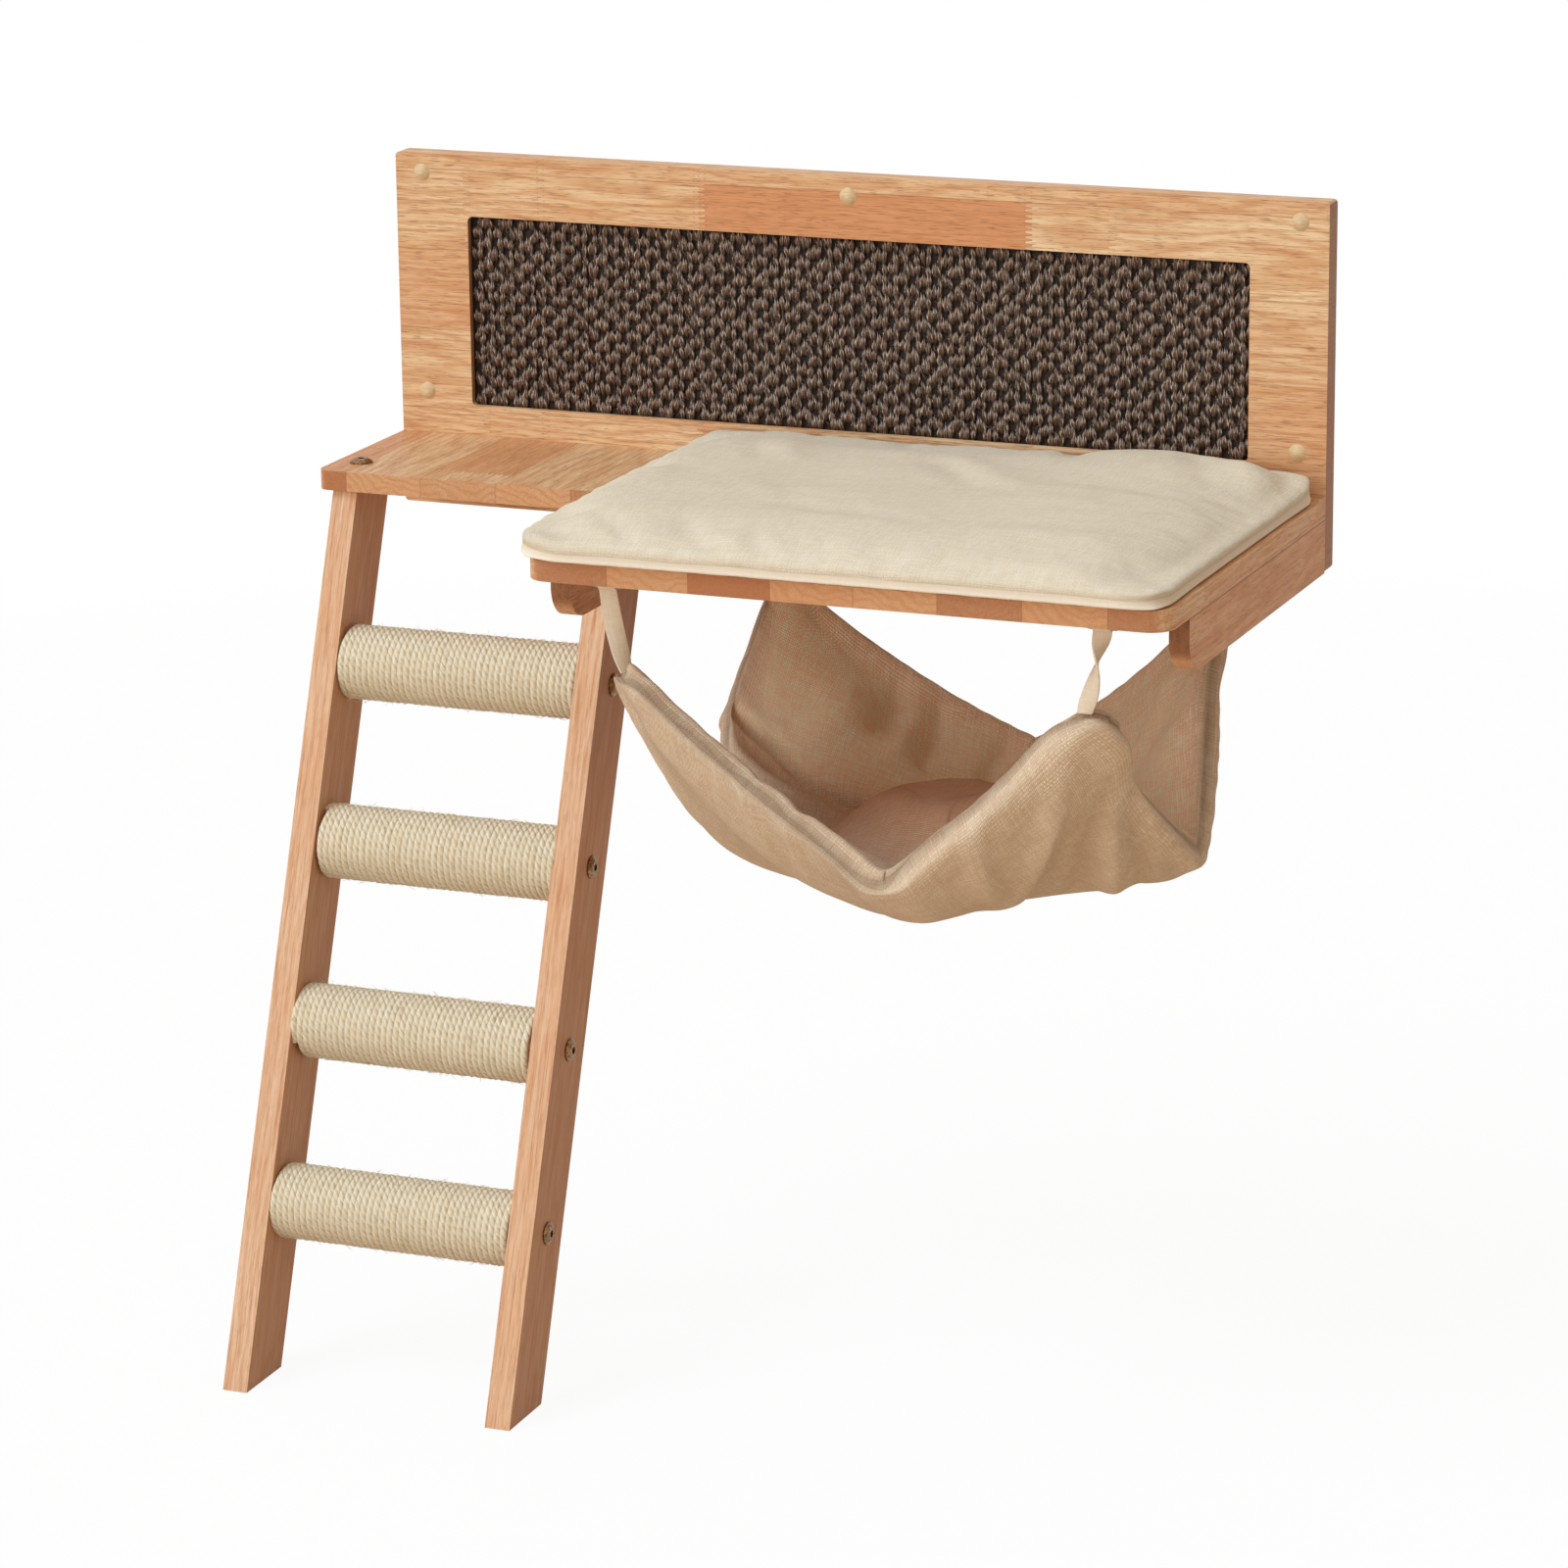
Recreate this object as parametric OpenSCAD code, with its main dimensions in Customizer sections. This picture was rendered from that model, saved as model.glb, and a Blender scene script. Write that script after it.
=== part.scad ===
// Wall-mounted cat platform with a scratching panel, a cushioned shelf, a roped ladder and a hammock.
// Right is +X, the wall is towards +Y and up is +Z. The origin is on the back of the panel,
// at the centre of its four corner screw holes.

/* [Back panel] */
// Width of the panel and of the whole platform
panel_w = 750; // [700:10:900]
// Height of the panel
panel_h = 275.5; // [265:0.5:330]
// Thickness of the panel board
panel_t = 20; // [18:1:26]
// Radius of the panel's corners
panel_corner_r = 3; // [1:0.5:8]
// Distance from a side edge to a corner wall hole
hole_inset_x = 22; // [16:1:26]
// Distance from the top edge to the upper wall holes
hole_inset_top = 15; // [12:1:17]
// Height of the lower wall holes above the shelf's top
hole_above_shelf = 33; // [30:1:45]
// Diameter of a wall hole
wall_hole_d = 5.5; // [4.5:0.5:6.5]
// Depth of the wide mouth in front of a wall hole
cap_seat_depth = 8; // [7:0.5:12]
// Diameter of the plug of a screw cap
cap_plug_d = 11.6; // [10:0.2:12.6]
// Diameter of the domed head of a screw cap
cap_head_d = 13.4; // [12.8:0.2:15]
// Height of the domed head of a screw cap
cap_head_h = 2.8; // [2:0.2:3.4]
// Length of the plug of a screw cap
cap_plug_len = 4; // [3:0.5:5]

/* [Scratching mat] */
// Width of the panel's left and right borders beside the window
window_side = 60; // [56:1:90]
// Height of the panel's border above the window
window_top = 47.4; // [44:0.2:60]
// Height of the window's lower edge above the shelf's top
window_above_shelf = 23.6; // [18:0.2:40]
// Radius of the window's corners
window_r = 4; // [2:0.5:8]
// Thickness of the panel's lip in front of the mat
lip_t = 5.5; // [4:0.5:7]
// Width of the lip that holds the mat
mat_lap = 5; // [3:0.5:6]
// Thickness of the woven sisal mat
mat_t = 6.5; // [5:0.5:7.5]
// Width of the step that holds the backing board
backing_lap = 16; // [12:0.5:18]
// Thickness of the backing board
backing_t = 4; // [3:0.5:5]
// Shaft diameter of a backing screw
backing_screw_d = 3; // [2.5:0.5:3.5]
// Length of a backing screw's shaft
backing_screw_len = 11; // [8:1:12]

/* [Shelf] */
// Width of the narrow step beside the ladder
step_w = 270; // [240:5:320]
// Depth of the narrow step in front of the panel
step_d = 153; // [130:1:190]
// Depth of the wide shelf in front of the panel
shelf_d = 370; // [330:5:420]
// Thickness of the shelf board
shelf_t = 15; // [15:1:22]
// Height of the brackets, and of the shelf's underside above the panel's bottom
bracket_h = 41; // [36:1:55]
// Radius of the shelf's outer corners
shelf_corner_r = 18; // [8:1:26]
// Radius of the narrow step's outer corner
step_corner_r = 10; // [4:1:16]
// Radius of the inner corner between step and shelf
notch_r = 6; // [3:0.5:10]

/* [Brackets] */
// Thickness of a bracket
bracket_t = 15; // [12:1:20]
// Distance from the shelf's front edge to a bracket's nose
bracket_setback = 48; // [30:1:80]
// Radius of the round nose of a bracket
bracket_nose_r = 25; // [12:1:34]
// Diameter of a dowel between bracket and shelf
dowel_d = 8; // [6:1:9]
// Depth of a dowel in each board
dowel_depth = 8; // [6:0.5:11]
// Distance from the panel's front to the rear dowel
dowel_first = 72; // [50:1:100]
// Distance between the dowels of a bracket
dowel_pitch = 172; // [120:1:190]

/* [Hidden screws] */
// Shaft diameter of a panel screw
panel_screw_d = 5; // [4:0.5:5.5]
// Length of a panel screw's shaft beyond its head
panel_screw_len = 45; // [35:1:60]
// Head diameter of a panel screw
panel_screw_head_d = 9; // [8:0.5:10]
// Head height of a panel screw
panel_screw_head_h = 3; // [2:0.5:4]
// Depth of a panel screw's head below the panel's back
panel_screw_sink = 1; // [0.5:0.5:3]
// Distance of a bracket's screws from its lower and upper edges
bracket_screw_inset = 12; // [8:0.5:13]
// Distance from a side edge to the nearest shelf screw
shelf_screw_inset = 60; // [45:1:80]

/* [Ladder] */
// Distance from the panel's left edge to the left rail
ladder_inset_left = 11; // [5:1:20]
// Distance from the right rail to the wide shelf
ladder_inset_right = 22; // [14:1:40]
// Distance from the step's front edge to the rails' front face
ladder_setback = 6; // [3:1:15]
// Height of the ladder below the shelf
ladder_h = 645; // [560:5:760]
// Lean of the ladder from upright, its foot forward
ladder_lean = 20; // [12:1:24]
// Width of a rail
rail_w = 20; // [18:1:26]
// Depth of a rail from front to back
rail_d = 54; // [48:1:64]
// Diameter of a rung's wooden core
rung_core_d = 46; // [38:1:48]

/* [Sisal rope] */
// Turns of rope on each rung
rope_turns = 24; // [16:1:24]
// Thickness of the rope layer on the core
rope_t = 4.5; // [3.5:0.1:6]
// Gap between one turn of rope and the next
rope_gap = 0.6; // [0.5:0.1:1]

/* [Bolts] */
// Diameter of a furniture bolt's shaft
bolt_d = 6; // [5:0.5:6.5]
// Diameter of a furniture bolt's flat head
bolt_head_d = 17.5; // [14:0.5:19]
// Height of a furniture bolt's head
bolt_head_h = 3.5; // [2.5:0.5:4.5]
// Width across the flats of the hex socket
bolt_hex = 5; // [3:0.5:6]
// Depth of the hex socket
bolt_hex_depth = 2.2; // [1.5:0.1:2.4]
// Outer diameter of a threaded insert
insert_d = 10; // [9:0.5:12]
// Length of a threaded insert
insert_len = 20; // [15:1:25]
// Clearance round shafts, plugs, dowels and inserts
fit_gap = 0.05; // [0.02:0.01:0.08]

/* [Seat cushion] */
// Overhang of the cushion over the wide shelf's left edge
cushion_over_left = 10; // [0:1:14]
// Overhang of the cushion over the shelf's front edge
cushion_over_front = 8; // [0:1:12]
// Gap between the cushion and the panel
cushion_back_gap = 4; // [3.6:0.2:10]
// Distance from the shelf's right edge to the cushion
cushion_inset_right = 2; // [0:0.5:10]
// Thickness of the cushion at its crown
cushion_t = 28; // [20:1:36]
// Thickness of the cushion's border
cushion_edge_t = 9; // [6:0.5:12]
// Rise of the cushion's border where it meets the panel
cushion_rear_rise = 9; // [0:1:12]
// Roundness of the cushion's corners, as a share of its half width that they draw in
cushion_round = 0.055; // [0.03:0.005:0.09]
// Gap between a soft piece and what it lies on
soft_gap = 0.3; // [0.2:0.05:0.5]

/* [Hammock] */
// Distance from a bracket to the nearest strap anchor
anchor_inset = 40; // [30:1:60]
// Distance from the shelf's front edge to the front anchors
anchor_front = 25; // [20:1:40]
// Distance from the panel to the rear anchors
anchor_rear = 40; // [36:1:60]
// Distance that each hammock corner is drawn in sideways from its anchor
corner_draw = 13; // [8:1:24]
// Drop from the shelf's underside to the hammock's corners
corner_drop = 68; // [60:1:90]
// Sag of the front edge below the corners
sag_front = 130; // [110:1:150]
// Sag of the rear edge below the corners
sag_rear = 116; // [100:1:140]
// Sag of the left and right edges below the corners
sag_side = 146; // [120:1:160]
// Sag of the hammock's middle below the corners
sag_middle = 172; // [155:1:200]
// Outward bulge of the edges at their middles
edge_bulge = 10; // [4:1:16]
// Distance that the hammock's middle hangs over to the right
drape_shift = 22; // [0:1:30]
// Place of the front and rear edges' low points, as a share of half their length to the right
low_point = 0.16; // [0:0.02:0.24]
// Thickness of the padding in the hammock's middle
pad_t = 24; // [18:1:28]
// Thickness of the hammock's border
hem_t = 12; // [8:1:14]
// Thickness of the hammock's corners where the straps are sewn on
corner_t = 5; // [4:0.5:7]
// Height of the folds that run from the corners
fold_h = 6; // [2:0.5:8]
// Depth of the crease at the middle of the front edge
crease_h = 10; // [4:1:14]

/* [Straps] */
// Width of a strap
strap_w = 14; // [10:1:18]
// Thickness of a strap
strap_t = 1.5; // [1.2:0.1:2]
// Wire diameter of a strap staple
staple_wire_d = 3; // [2.5:0.5:4]
// Distance from the shelf's underside to a staple's bar axis
staple_drop = 5.5; // [5:0.5:8]
// Depth of a staple's legs in the shelf
staple_depth = 11; // [8:0.5:13]
// Running clearance of a strap's loop round the bar
loop_gap = 0.1; // [0.05:0.05:0.2]
// Gap between a strap's lower end and the hammock's corner
strap_gap = 1.3; // [1.1:0.1:2]

/* [Hidden] */
$fn = 64;

// heights, counted from the panel's bottom edge
shelf_under = bracket_h;
shelf_top = bracket_h + shelf_t;
hole_low_z = shelf_top + hole_above_shelf;
hole_high_z = panel_h - hole_inset_top;
mount_z = (hole_low_z + hole_high_z) / 2;
window_low = shelf_top + window_above_shelf;
window_high = panel_h - window_top;

// the window and what is let in behind it
window_w = panel_w - 2 * window_side;
window_h = window_high - window_low;
panel_front = -panel_t;
mat_front = panel_front + lip_t;
mat_back = mat_front + mat_t;
rebate_gap = 0.5;
over = 1;
tip_gap = 0.5;
backing_back = mat_back + backing_t;
backing_screw_edge = 5;
backing_screw_head_d = 6;
backing_screw_head_h = 1.6;
backing_screw_cols = 5;

// the five wall holes
wall_holes = [[hole_inset_x, hole_low_z], [panel_w - hole_inset_x, hole_low_z],
    [hole_inset_x, hole_high_z], [panel_w - hole_inset_x, hole_high_z],
    [panel_w / 2, hole_high_z]];

// the shelf and what it is screwed to
shelf_front = panel_front - shelf_d;
step_front = panel_front - step_d;
shelf_w = panel_w - step_w;
bracket_front = shelf_front + bracket_setback;
bracket_x = [step_w, panel_w - bracket_t];
dowel_y = [panel_front - dowel_first, panel_front - dowel_first - dowel_pitch];
shelf_screw_cols = 5;
shelf_screw_pitch = (panel_w - 2 * shelf_screw_inset) / (shelf_screw_cols - 1);
shelf_screw_x = [for (i = [0:shelf_screw_cols - 1]) shelf_screw_inset + i * shelf_screw_pitch];
shelf_screw_z = shelf_under + shelf_t / 2;
bracket_screw_z = [bracket_screw_inset, bracket_h - bracket_screw_inset];
screw_head_y = -panel_screw_sink;
screw_pit_gap = 0.5;

// the ladder, whose rails are cut level at the shelf and at the floor
rail_x = [ladder_inset_left, step_w - ladder_inset_right - rail_w];
rung_x = rail_x[0] + rail_w;
rung_len = rail_x[1] - rung_x;
rail_level_d = rail_d / cos(ladder_lean);
rail_top_front = step_front + ladder_setback;
rail_top_mid = rail_top_front + rail_level_d / 2;
rung_count = 4;
rung_pitch = ladder_h / (rung_count + 1);
rung_bolt_short = 2;
rung_bolt_len = rail_w + insert_len - rung_bolt_short;
ladder_bolt_past = 6;
ladder_bolt_len = shelf_t + insert_len + ladder_bolt_past;

// shares of a bolt head's height that its rim takes, and of its width that its flat top takes
bolt_rim_share = 0.35;
bolt_top_share = 0.6;

// the rope, a tube of three sides wound round the core with ten rings a turn
rope_rings = 10;
rope_end_gap = 0.4;
rope_pitch = (rung_len - 2 * rope_end_gap + rope_gap) / (rope_turns + 1);
rope_w = rope_pitch - rope_gap;
rope_in_r = (rung_core_d / 2 + soft_gap) / cos(180 / rope_rings);
rope_out_r = rope_in_r + rope_t;

// the cushion
cushion_x0 = step_w - cushion_over_left;
cushion_x1 = panel_w - cushion_inset_right;
cushion_y0 = shelf_front - cushion_over_front;
cushion_y1 = panel_front - cushion_back_gap;
cushion_seam_z = 8;
cushion_wave_h = 0.9;
cushion_wave_x = 250;
cushion_wave_y = 210;
cushion_wave_from = 40;
cushion_power = 6;
cushion_rise_power = 8;
cushion_cols = 18;
cushion_rows = 14;

// the hammock
anchor_xs = [bracket_x[0] + bracket_t + anchor_inset, bracket_x[1] - anchor_inset];
anchor_mid_x = (anchor_xs[0] + anchor_xs[1]) / 2;
anchor_y_front = shelf_front + anchor_front;
anchor_y_rear = panel_front - anchor_rear;
hammock_mid_y = (anchor_y_front + anchor_y_rear) / 2;
corner_half_x = (anchor_xs[1] - anchor_xs[0]) / 2 - corner_draw;
corner_half_y = (anchor_y_rear - anchor_y_front) / 2;
corner_z = shelf_under - corner_drop;
hammock_cells = 18;
edge_power = 1.2;
bowl_power = 2.6;
crease_width = 0.14;
crease_power = 8;
folds = 3;
fold_run = 150;
thin_power = 6;

// the straps and their staples
bar_z = shelf_under - staple_drop;
loop_in_r = staple_wire_d / 2 + loop_gap;
loop_out_r = loop_in_r + strap_t;
staple_play = 3;
staple_inner_w = strap_w + staple_play;
strap_steps = 10;

// the panel's left bottom corner at the wall is the zero of the sizes above
module placed() translate([-panel_w / 2, 0, -mount_z]) children();

// flat outline with four round corners, its lower left corner at the origin
module rounded_rect(w, h, r) {
    translate([r, 0]) square([w - 2 * r, h]);
    translate([0, r]) square([w, h - 2 * r]);
    for (x = [r, w - r], y = [r, h - r]) translate([x, y]) circle(r);
}

// extrudes a flat outline drawn in X and Z from the depth y0 to the depth y1
module upright(y0, y1) translate([0, y1, 0]) rotate([90, 0, 0]) linear_extrude(y1 - y0) children();

// a round bar along +Y, +X or -Z from the point at
module bar_y(at, d, len) translate(at) rotate([-90, 0, 0]) cylinder(d = d, h = len);
module bar_x(at, d, len) translate(at) rotate([0, 90, 0]) cylinder(d = d, h = len);
module bar_down(at, d, len) translate(at) rotate([180, 0, 0]) cylinder(d = d, h = len);

// places of the backing screws, in X and Z
function backing_screw_places() =
    let (x0 = window_side - backing_lap + backing_screw_edge,
         x1 = panel_w - x0,
         z0 = window_low - backing_lap + backing_screw_edge,
         z1 = window_high + backing_lap - backing_screw_edge,
         n = backing_screw_cols - 1)
    [for (i = [0:n], z = [z0, z1]) [x0 + (x1 - x0) * i / n, z]];

// outline of the window grown by a margin
module window_outline(margin)
    translate([window_side - margin, window_low - margin])
        rounded_rect(window_w + 2 * margin, window_h + 2 * margin, window_r);

module panel_body() {
    screw_hole_d = panel_screw_d + 2 * fit_gap;
    screw_pit_d = panel_screw_head_d + screw_pit_gap;
    pit_depth = panel_screw_sink + panel_screw_head_h;
    difference() {
        upright(panel_front, 0) rounded_rect(panel_w, panel_h, panel_corner_r);
        upright(panel_front - over, over) window_outline(0);
        upright(mat_front, over) window_outline(mat_lap);
        upright(mat_back, over) window_outline(backing_lap);
        for (p = wall_holes) {
            bar_y([p[0], panel_front - over, p[1]], wall_hole_d, panel_t + 2 * over);
            bar_y([p[0], panel_front - over, p[1]], cap_plug_d + 2 * fit_gap, cap_seat_depth + over);
        }
        for (p = backing_screw_places())
            bar_y([p[0], backing_back - backing_screw_len - tip_gap, p[1]],
                backing_screw_d + 2 * fit_gap, backing_screw_len + over);
        for (x = shelf_screw_x) {
            bar_y([x, panel_front - over, shelf_screw_z], screw_hole_d, panel_t + 2 * over);
            bar_y([x, -pit_depth, shelf_screw_z], screw_pit_d, pit_depth + over);
        }
        for (x = bracket_x, z = bracket_screw_z) {
            bar_y([x + bracket_t / 2, panel_front - over, z], screw_hole_d, panel_t + 2 * over);
            bar_y([x + bracket_t / 2, -pit_depth, z], screw_pit_d, pit_depth + over);
        }
    }
}

module back_panel() color("#d8a878") placed() panel_body();

module sisal_mat()
    color("#5a4638") placed() upright(mat_front, mat_back) window_outline(mat_lap - rebate_gap);

module mat_backing() color("#b98f62") placed() difference() {
    upright(mat_back, backing_back) window_outline(backing_lap - rebate_gap);
    for (p = backing_screw_places())
        bar_y([p[0], mat_back - over, p[1]], backing_screw_d + 2 * fit_gap, backing_t + 2 * over);
}

module backing_screws() color("#b8b8b4") placed() for (p = backing_screw_places()) {
    bar_y([p[0], backing_back - backing_screw_len, p[1]], backing_screw_d, backing_screw_len);
    bar_y([p[0], backing_back, p[1]], backing_screw_head_d, backing_screw_head_h);
}

// a domed cap whose plug points along +Z
module screw_cap() {
    dome_r = (pow(cap_head_d / 2, 2) + pow(cap_head_h, 2)) / (2 * cap_head_h);
    cylinder(d = cap_plug_d, h = cap_plug_len);
    intersection() {
        translate([0, 0, dome_r - cap_head_h]) sphere(dome_r);
        translate([0, 0, -cap_head_h]) cylinder(d = cap_head_d, h = cap_head_h);
    }
}

module screw_caps() color("#ecd2a4") placed() for (p = wall_holes)
    translate([p[0], panel_front, p[1]]) rotate([-90, 0, 0]) screw_cap();

// flat outline of the shelf in X and Y, the narrow step at the left
module shelf_outline() {
    difference() {
        union() {
            translate([step_w, shelf_front]) rounded_rect(shelf_w, shelf_d, shelf_corner_r);
            translate([step_w, panel_front - shelf_corner_r]) square([shelf_w, shelf_corner_r]);
            translate([0, step_front]) rounded_rect(step_w + shelf_corner_r, step_d, step_corner_r);
            translate([0, panel_front - step_corner_r]) square([step_w, step_corner_r]);
            translate([step_w, step_front]) square([shelf_corner_r, step_d]);
            translate([step_w - notch_r, step_front - notch_r]) square([notch_r, notch_r]);
        }
        translate([step_w - notch_r, step_front - notch_r]) circle(notch_r);
    }
}

module shelf_board() color("#d6a472") placed() difference() {
    translate([0, 0, shelf_under]) linear_extrude(shelf_t) shelf_outline();
    for (x = rail_x)
        bar_down([x + rail_w / 2, rail_top_mid, shelf_top + over], bolt_d + 2 * fit_gap,
            shelf_t + 2 * over);
    for (x = bracket_x, y = dowel_y)
        bar_down([x + bracket_t / 2, y, shelf_under + dowel_depth], dowel_d + 2 * fit_gap,
            dowel_depth + over);
    for (x = shelf_screw_x)
        bar_y([x, screw_head_y - panel_screw_head_h - panel_screw_len - tip_gap, shelf_screw_z],
            panel_screw_d + 2 * fit_gap, panel_screw_len);
    for (x = anchor_xs, y = [anchor_y_front, anchor_y_rear], side = [-1, 1])
        bar_down([x + side * staple_leg_x(), y, shelf_under + staple_depth],
            staple_wire_d + 2 * fit_gap, staple_depth + over);
}

// a bracket's side outline in Y and Z, with a round nose at the bottom
module bracket_outline() {
    r = bracket_nose_r;
    difference() {
        translate([bracket_front, 0]) square([panel_front - bracket_front, bracket_h]);
        difference() {
            translate([bracket_front - over, -over]) square([r + over, r + over]);
            translate([bracket_front + r, r]) circle(r);
        }
    }
}

module bracket(x) color("#cf9a68") placed() difference() {
    translate([x, 0, 0]) rotate([90, 0, 90]) linear_extrude(bracket_t) bracket_outline();
    for (y = dowel_y)
        bar_down([x + bracket_t / 2, y, shelf_under + over], dowel_d + 2 * fit_gap,
            dowel_depth + over);
    for (z = bracket_screw_z)
        bar_y([x + bracket_t / 2, screw_head_y - panel_screw_head_h - panel_screw_len - tip_gap, z],
            panel_screw_d + 2 * fit_gap, panel_screw_len);
}

module bracket_left() bracket(bracket_x[0]);
module bracket_right() bracket(bracket_x[1]);

module bracket_dowels() color("#e0bd8c") placed() for (x = bracket_x, y = dowel_y)
    bar_down([x + bracket_t / 2, y, shelf_under + dowel_depth], dowel_d, 2 * dowel_depth);

// a screw that enters the panel from the back
module panel_screw(x, z) {
    bar_y([x, screw_head_y - panel_screw_head_h, z], panel_screw_head_d, panel_screw_head_h);
    bar_y([x, screw_head_y - panel_screw_head_h - panel_screw_len, z], panel_screw_d,
        panel_screw_len);
}

module shelf_screws() color("#b8b8b4") placed() for (x = shelf_screw_x) panel_screw(x, shelf_screw_z);

module bracket_screws() color("#b8b8b4") placed()
    for (x = bracket_x, z = bracket_screw_z) panel_screw(x + bracket_t / 2, z);

// middle of the ladder's depth at a height z, and the height of a rung
function rail_mid_y(z) = rail_top_mid - (shelf_under - z) * tan(ladder_lean);
function rung_z(i) = shelf_under - i * rung_pitch;

// a rail's side outline in Y and Z, cut level at both ends
module rail_outline() {
    foot_z = shelf_under - ladder_h;
    top = rail_mid_y(shelf_under);
    foot = rail_mid_y(foot_z);
    half = rail_level_d / 2;
    polygon([[top - half, shelf_under], [foot - half, foot_z], [foot + half, foot_z],
        [top + half, shelf_under]]);
}

module rail(x) color("#c99566") placed() difference() {
    translate([x, 0, 0]) rotate([90, 0, 90]) linear_extrude(rail_w) rail_outline();
    for (i = [1:rung_count])
        bar_x([x - over, rail_mid_y(rung_z(i)), rung_z(i)], bolt_d + 2 * fit_gap,
            rail_w + 2 * over);
    bar_down([x + rail_w / 2, rail_top_mid, shelf_under + over], insert_d + 2 * fit_gap,
        insert_len + over);
    bar_down([x + rail_w / 2, rail_top_mid, shelf_under], bolt_d + 2 * fit_gap,
        insert_len + ladder_bolt_past + 2 * tip_gap);
}

module rail_left() rail(rail_x[0]);
module rail_right() rail(rail_x[1]);

// both ends of a rung's core take an insert
module rung_core(i) color("#d9b184") placed() {
    y = rail_mid_y(rung_z(i));
    difference() {
        bar_x([rung_x, y, rung_z(i)], rung_core_d, rung_len);
        bar_x([rung_x - over, y, rung_z(i)], insert_d + 2 * fit_gap, insert_len + over);
        bar_x([rung_x + rung_len - insert_len, y, rung_z(i)], insert_d + 2 * fit_gap,
            insert_len + over);
    }
}

module rung_core_1() rung_core(1);
module rung_core_2() rung_core(2);
module rung_core_3() rung_core(3);
module rung_core_4() rung_core(4);

// one ring of the rope: two corners on the core and a ridge outside
function rope_ring(k) =
    let (a = 360 * k / rope_rings, x = rope_end_gap + rope_pitch * k / rope_rings,
         c = cos(a), s = sin(a))
    [[x, rope_in_r * c, rope_in_r * s], [x + rope_w, rope_in_r * c, rope_in_r * s],
     [x + rope_w / 2, rope_out_r * c, rope_out_r * s]];

rope_last = rope_turns * rope_rings;
rope_points = [for (k = [0:rope_last]) each rope_ring(k)];
rope_faces = concat([[0, 1, 2]],
    [for (k = [0:rope_last - 1], j = [0:2])
        let (a = 3 * k + j, b = 3 * k + (j + 1) % 3) each [[a, a + 3, b], [b, a + 3, b + 3]]],
    [[3 * rope_last, 3 * rope_last + 2, 3 * rope_last + 1]]);

// least distance from the corners of one turn to those of the next
rope_least_gap = min([for (k = [0:rope_last - rope_rings], j = [0:2], m = [0:2])
    norm(rope_points[3 * k + j] - rope_points[3 * (k + rope_rings) + m])]);
echo(str("Least gap between turns of rope: ", rope_least_gap, " mm"));

module rung_rope(i) color("#e6d8b4") placed()
    translate([rung_x, rail_mid_y(rung_z(i)), rung_z(i)])
        polyhedron(rope_points, rope_faces, convexity = 10);

module rung_rope_1() rung_rope(1);
module rung_rope_2() rung_rope(2);
module rung_rope_3() rung_rope(3);
module rung_rope_4() rung_rope(4);

// a furniture bolt whose shaft points along -Z and whose head stands on z = 0
module furniture_bolt(len) {
    rim_h = bolt_rim_share * bolt_head_h;
    difference() {
        union() {
            translate([0, 0, -len]) cylinder(d = bolt_d, h = len + rim_h);
            cylinder(d = bolt_head_d, h = rim_h);
            translate([0, 0, rim_h]) cylinder(d1 = bolt_head_d, d2 = bolt_top_share * bolt_head_d,
                h = bolt_head_h - rim_h);
        }
        translate([0, 0, bolt_head_h - bolt_hex_depth])
            cylinder(d = bolt_hex / cos(30), h = bolt_hex_depth + over, $fn = 6);
    }
}

module rung_bolts_left() color("#8a6a44") placed() for (i = [1:rung_count])
    translate([rail_x[0], rail_mid_y(rung_z(i)), rung_z(i)]) rotate([0, -90, 0])
        furniture_bolt(rung_bolt_len);

module rung_bolts_right() color("#8a6a44") placed() for (i = [1:rung_count])
    translate([rail_x[1] + rail_w, rail_mid_y(rung_z(i)), rung_z(i)]) rotate([0, 90, 0])
        furniture_bolt(rung_bolt_len);

module ladder_bolts() color("#8a6a44") placed() for (x = rail_x)
    translate([x + rail_w / 2, rail_top_mid, shelf_top]) furniture_bolt(ladder_bolt_len);

// a threaded sleeve along +Z
module insert() difference() {
    cylinder(d = insert_d, h = insert_len);
    translate([0, 0, -over]) cylinder(d = bolt_d + 2 * fit_gap, h = insert_len + 2 * over);
}

module rung_inserts() color("#c9a24a") placed()
    for (i = [1:rung_count], x = [rung_x, rung_x + rung_len - insert_len])
        translate([x, rail_mid_y(rung_z(i)), rung_z(i)]) rotate([0, 90, 0]) insert();

module rail_inserts() color("#c9a24a") placed() for (x = rail_x)
    translate([x + rail_w / 2, rail_top_mid, shelf_under - insert_len]) insert();

// closed skin over a grid of n by m cells: the upper points first, then the lower ones
function skin_faces(n, m) =
    let (row = m + 1, low = (n + 1) * (m + 1))
    concat(
        [for (i = [0:n - 1], j = [0:m - 1])
            let (a = i * row + j, b = a + 1, c = a + row, d = c + 1) each [[a, b, c], [b, d, c]]],
        [for (i = [0:n - 1], j = [0:m - 1])
            let (a = low + i * row + j, b = a + 1, c = a + row, d = c + 1)
                each [[a, c, b], [b, c, d]]],
        [for (j = [0:m - 1]) let (a = j, b = j + 1)
            each [[a, a + low, b], [b, a + low, b + low]]],
        [for (j = [0:m - 1]) let (a = n * row + j, b = a + 1)
            each [[a, b, a + low], [b, b + low, a + low]]],
        [for (i = [0:n - 1]) let (a = i * row, b = a + row)
            each [[a, b, a + low], [b, b + low, a + low]]],
        [for (i = [0:n - 1]) let (a = i * row + m, b = a + row)
            each [[a, a + low, b], [b, a + low, b + low]]]);

// even steps from -1 to 1, drawn closer together near both ends
function eased(i, n) = sin(90 * (2 * i / n - 1));

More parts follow.
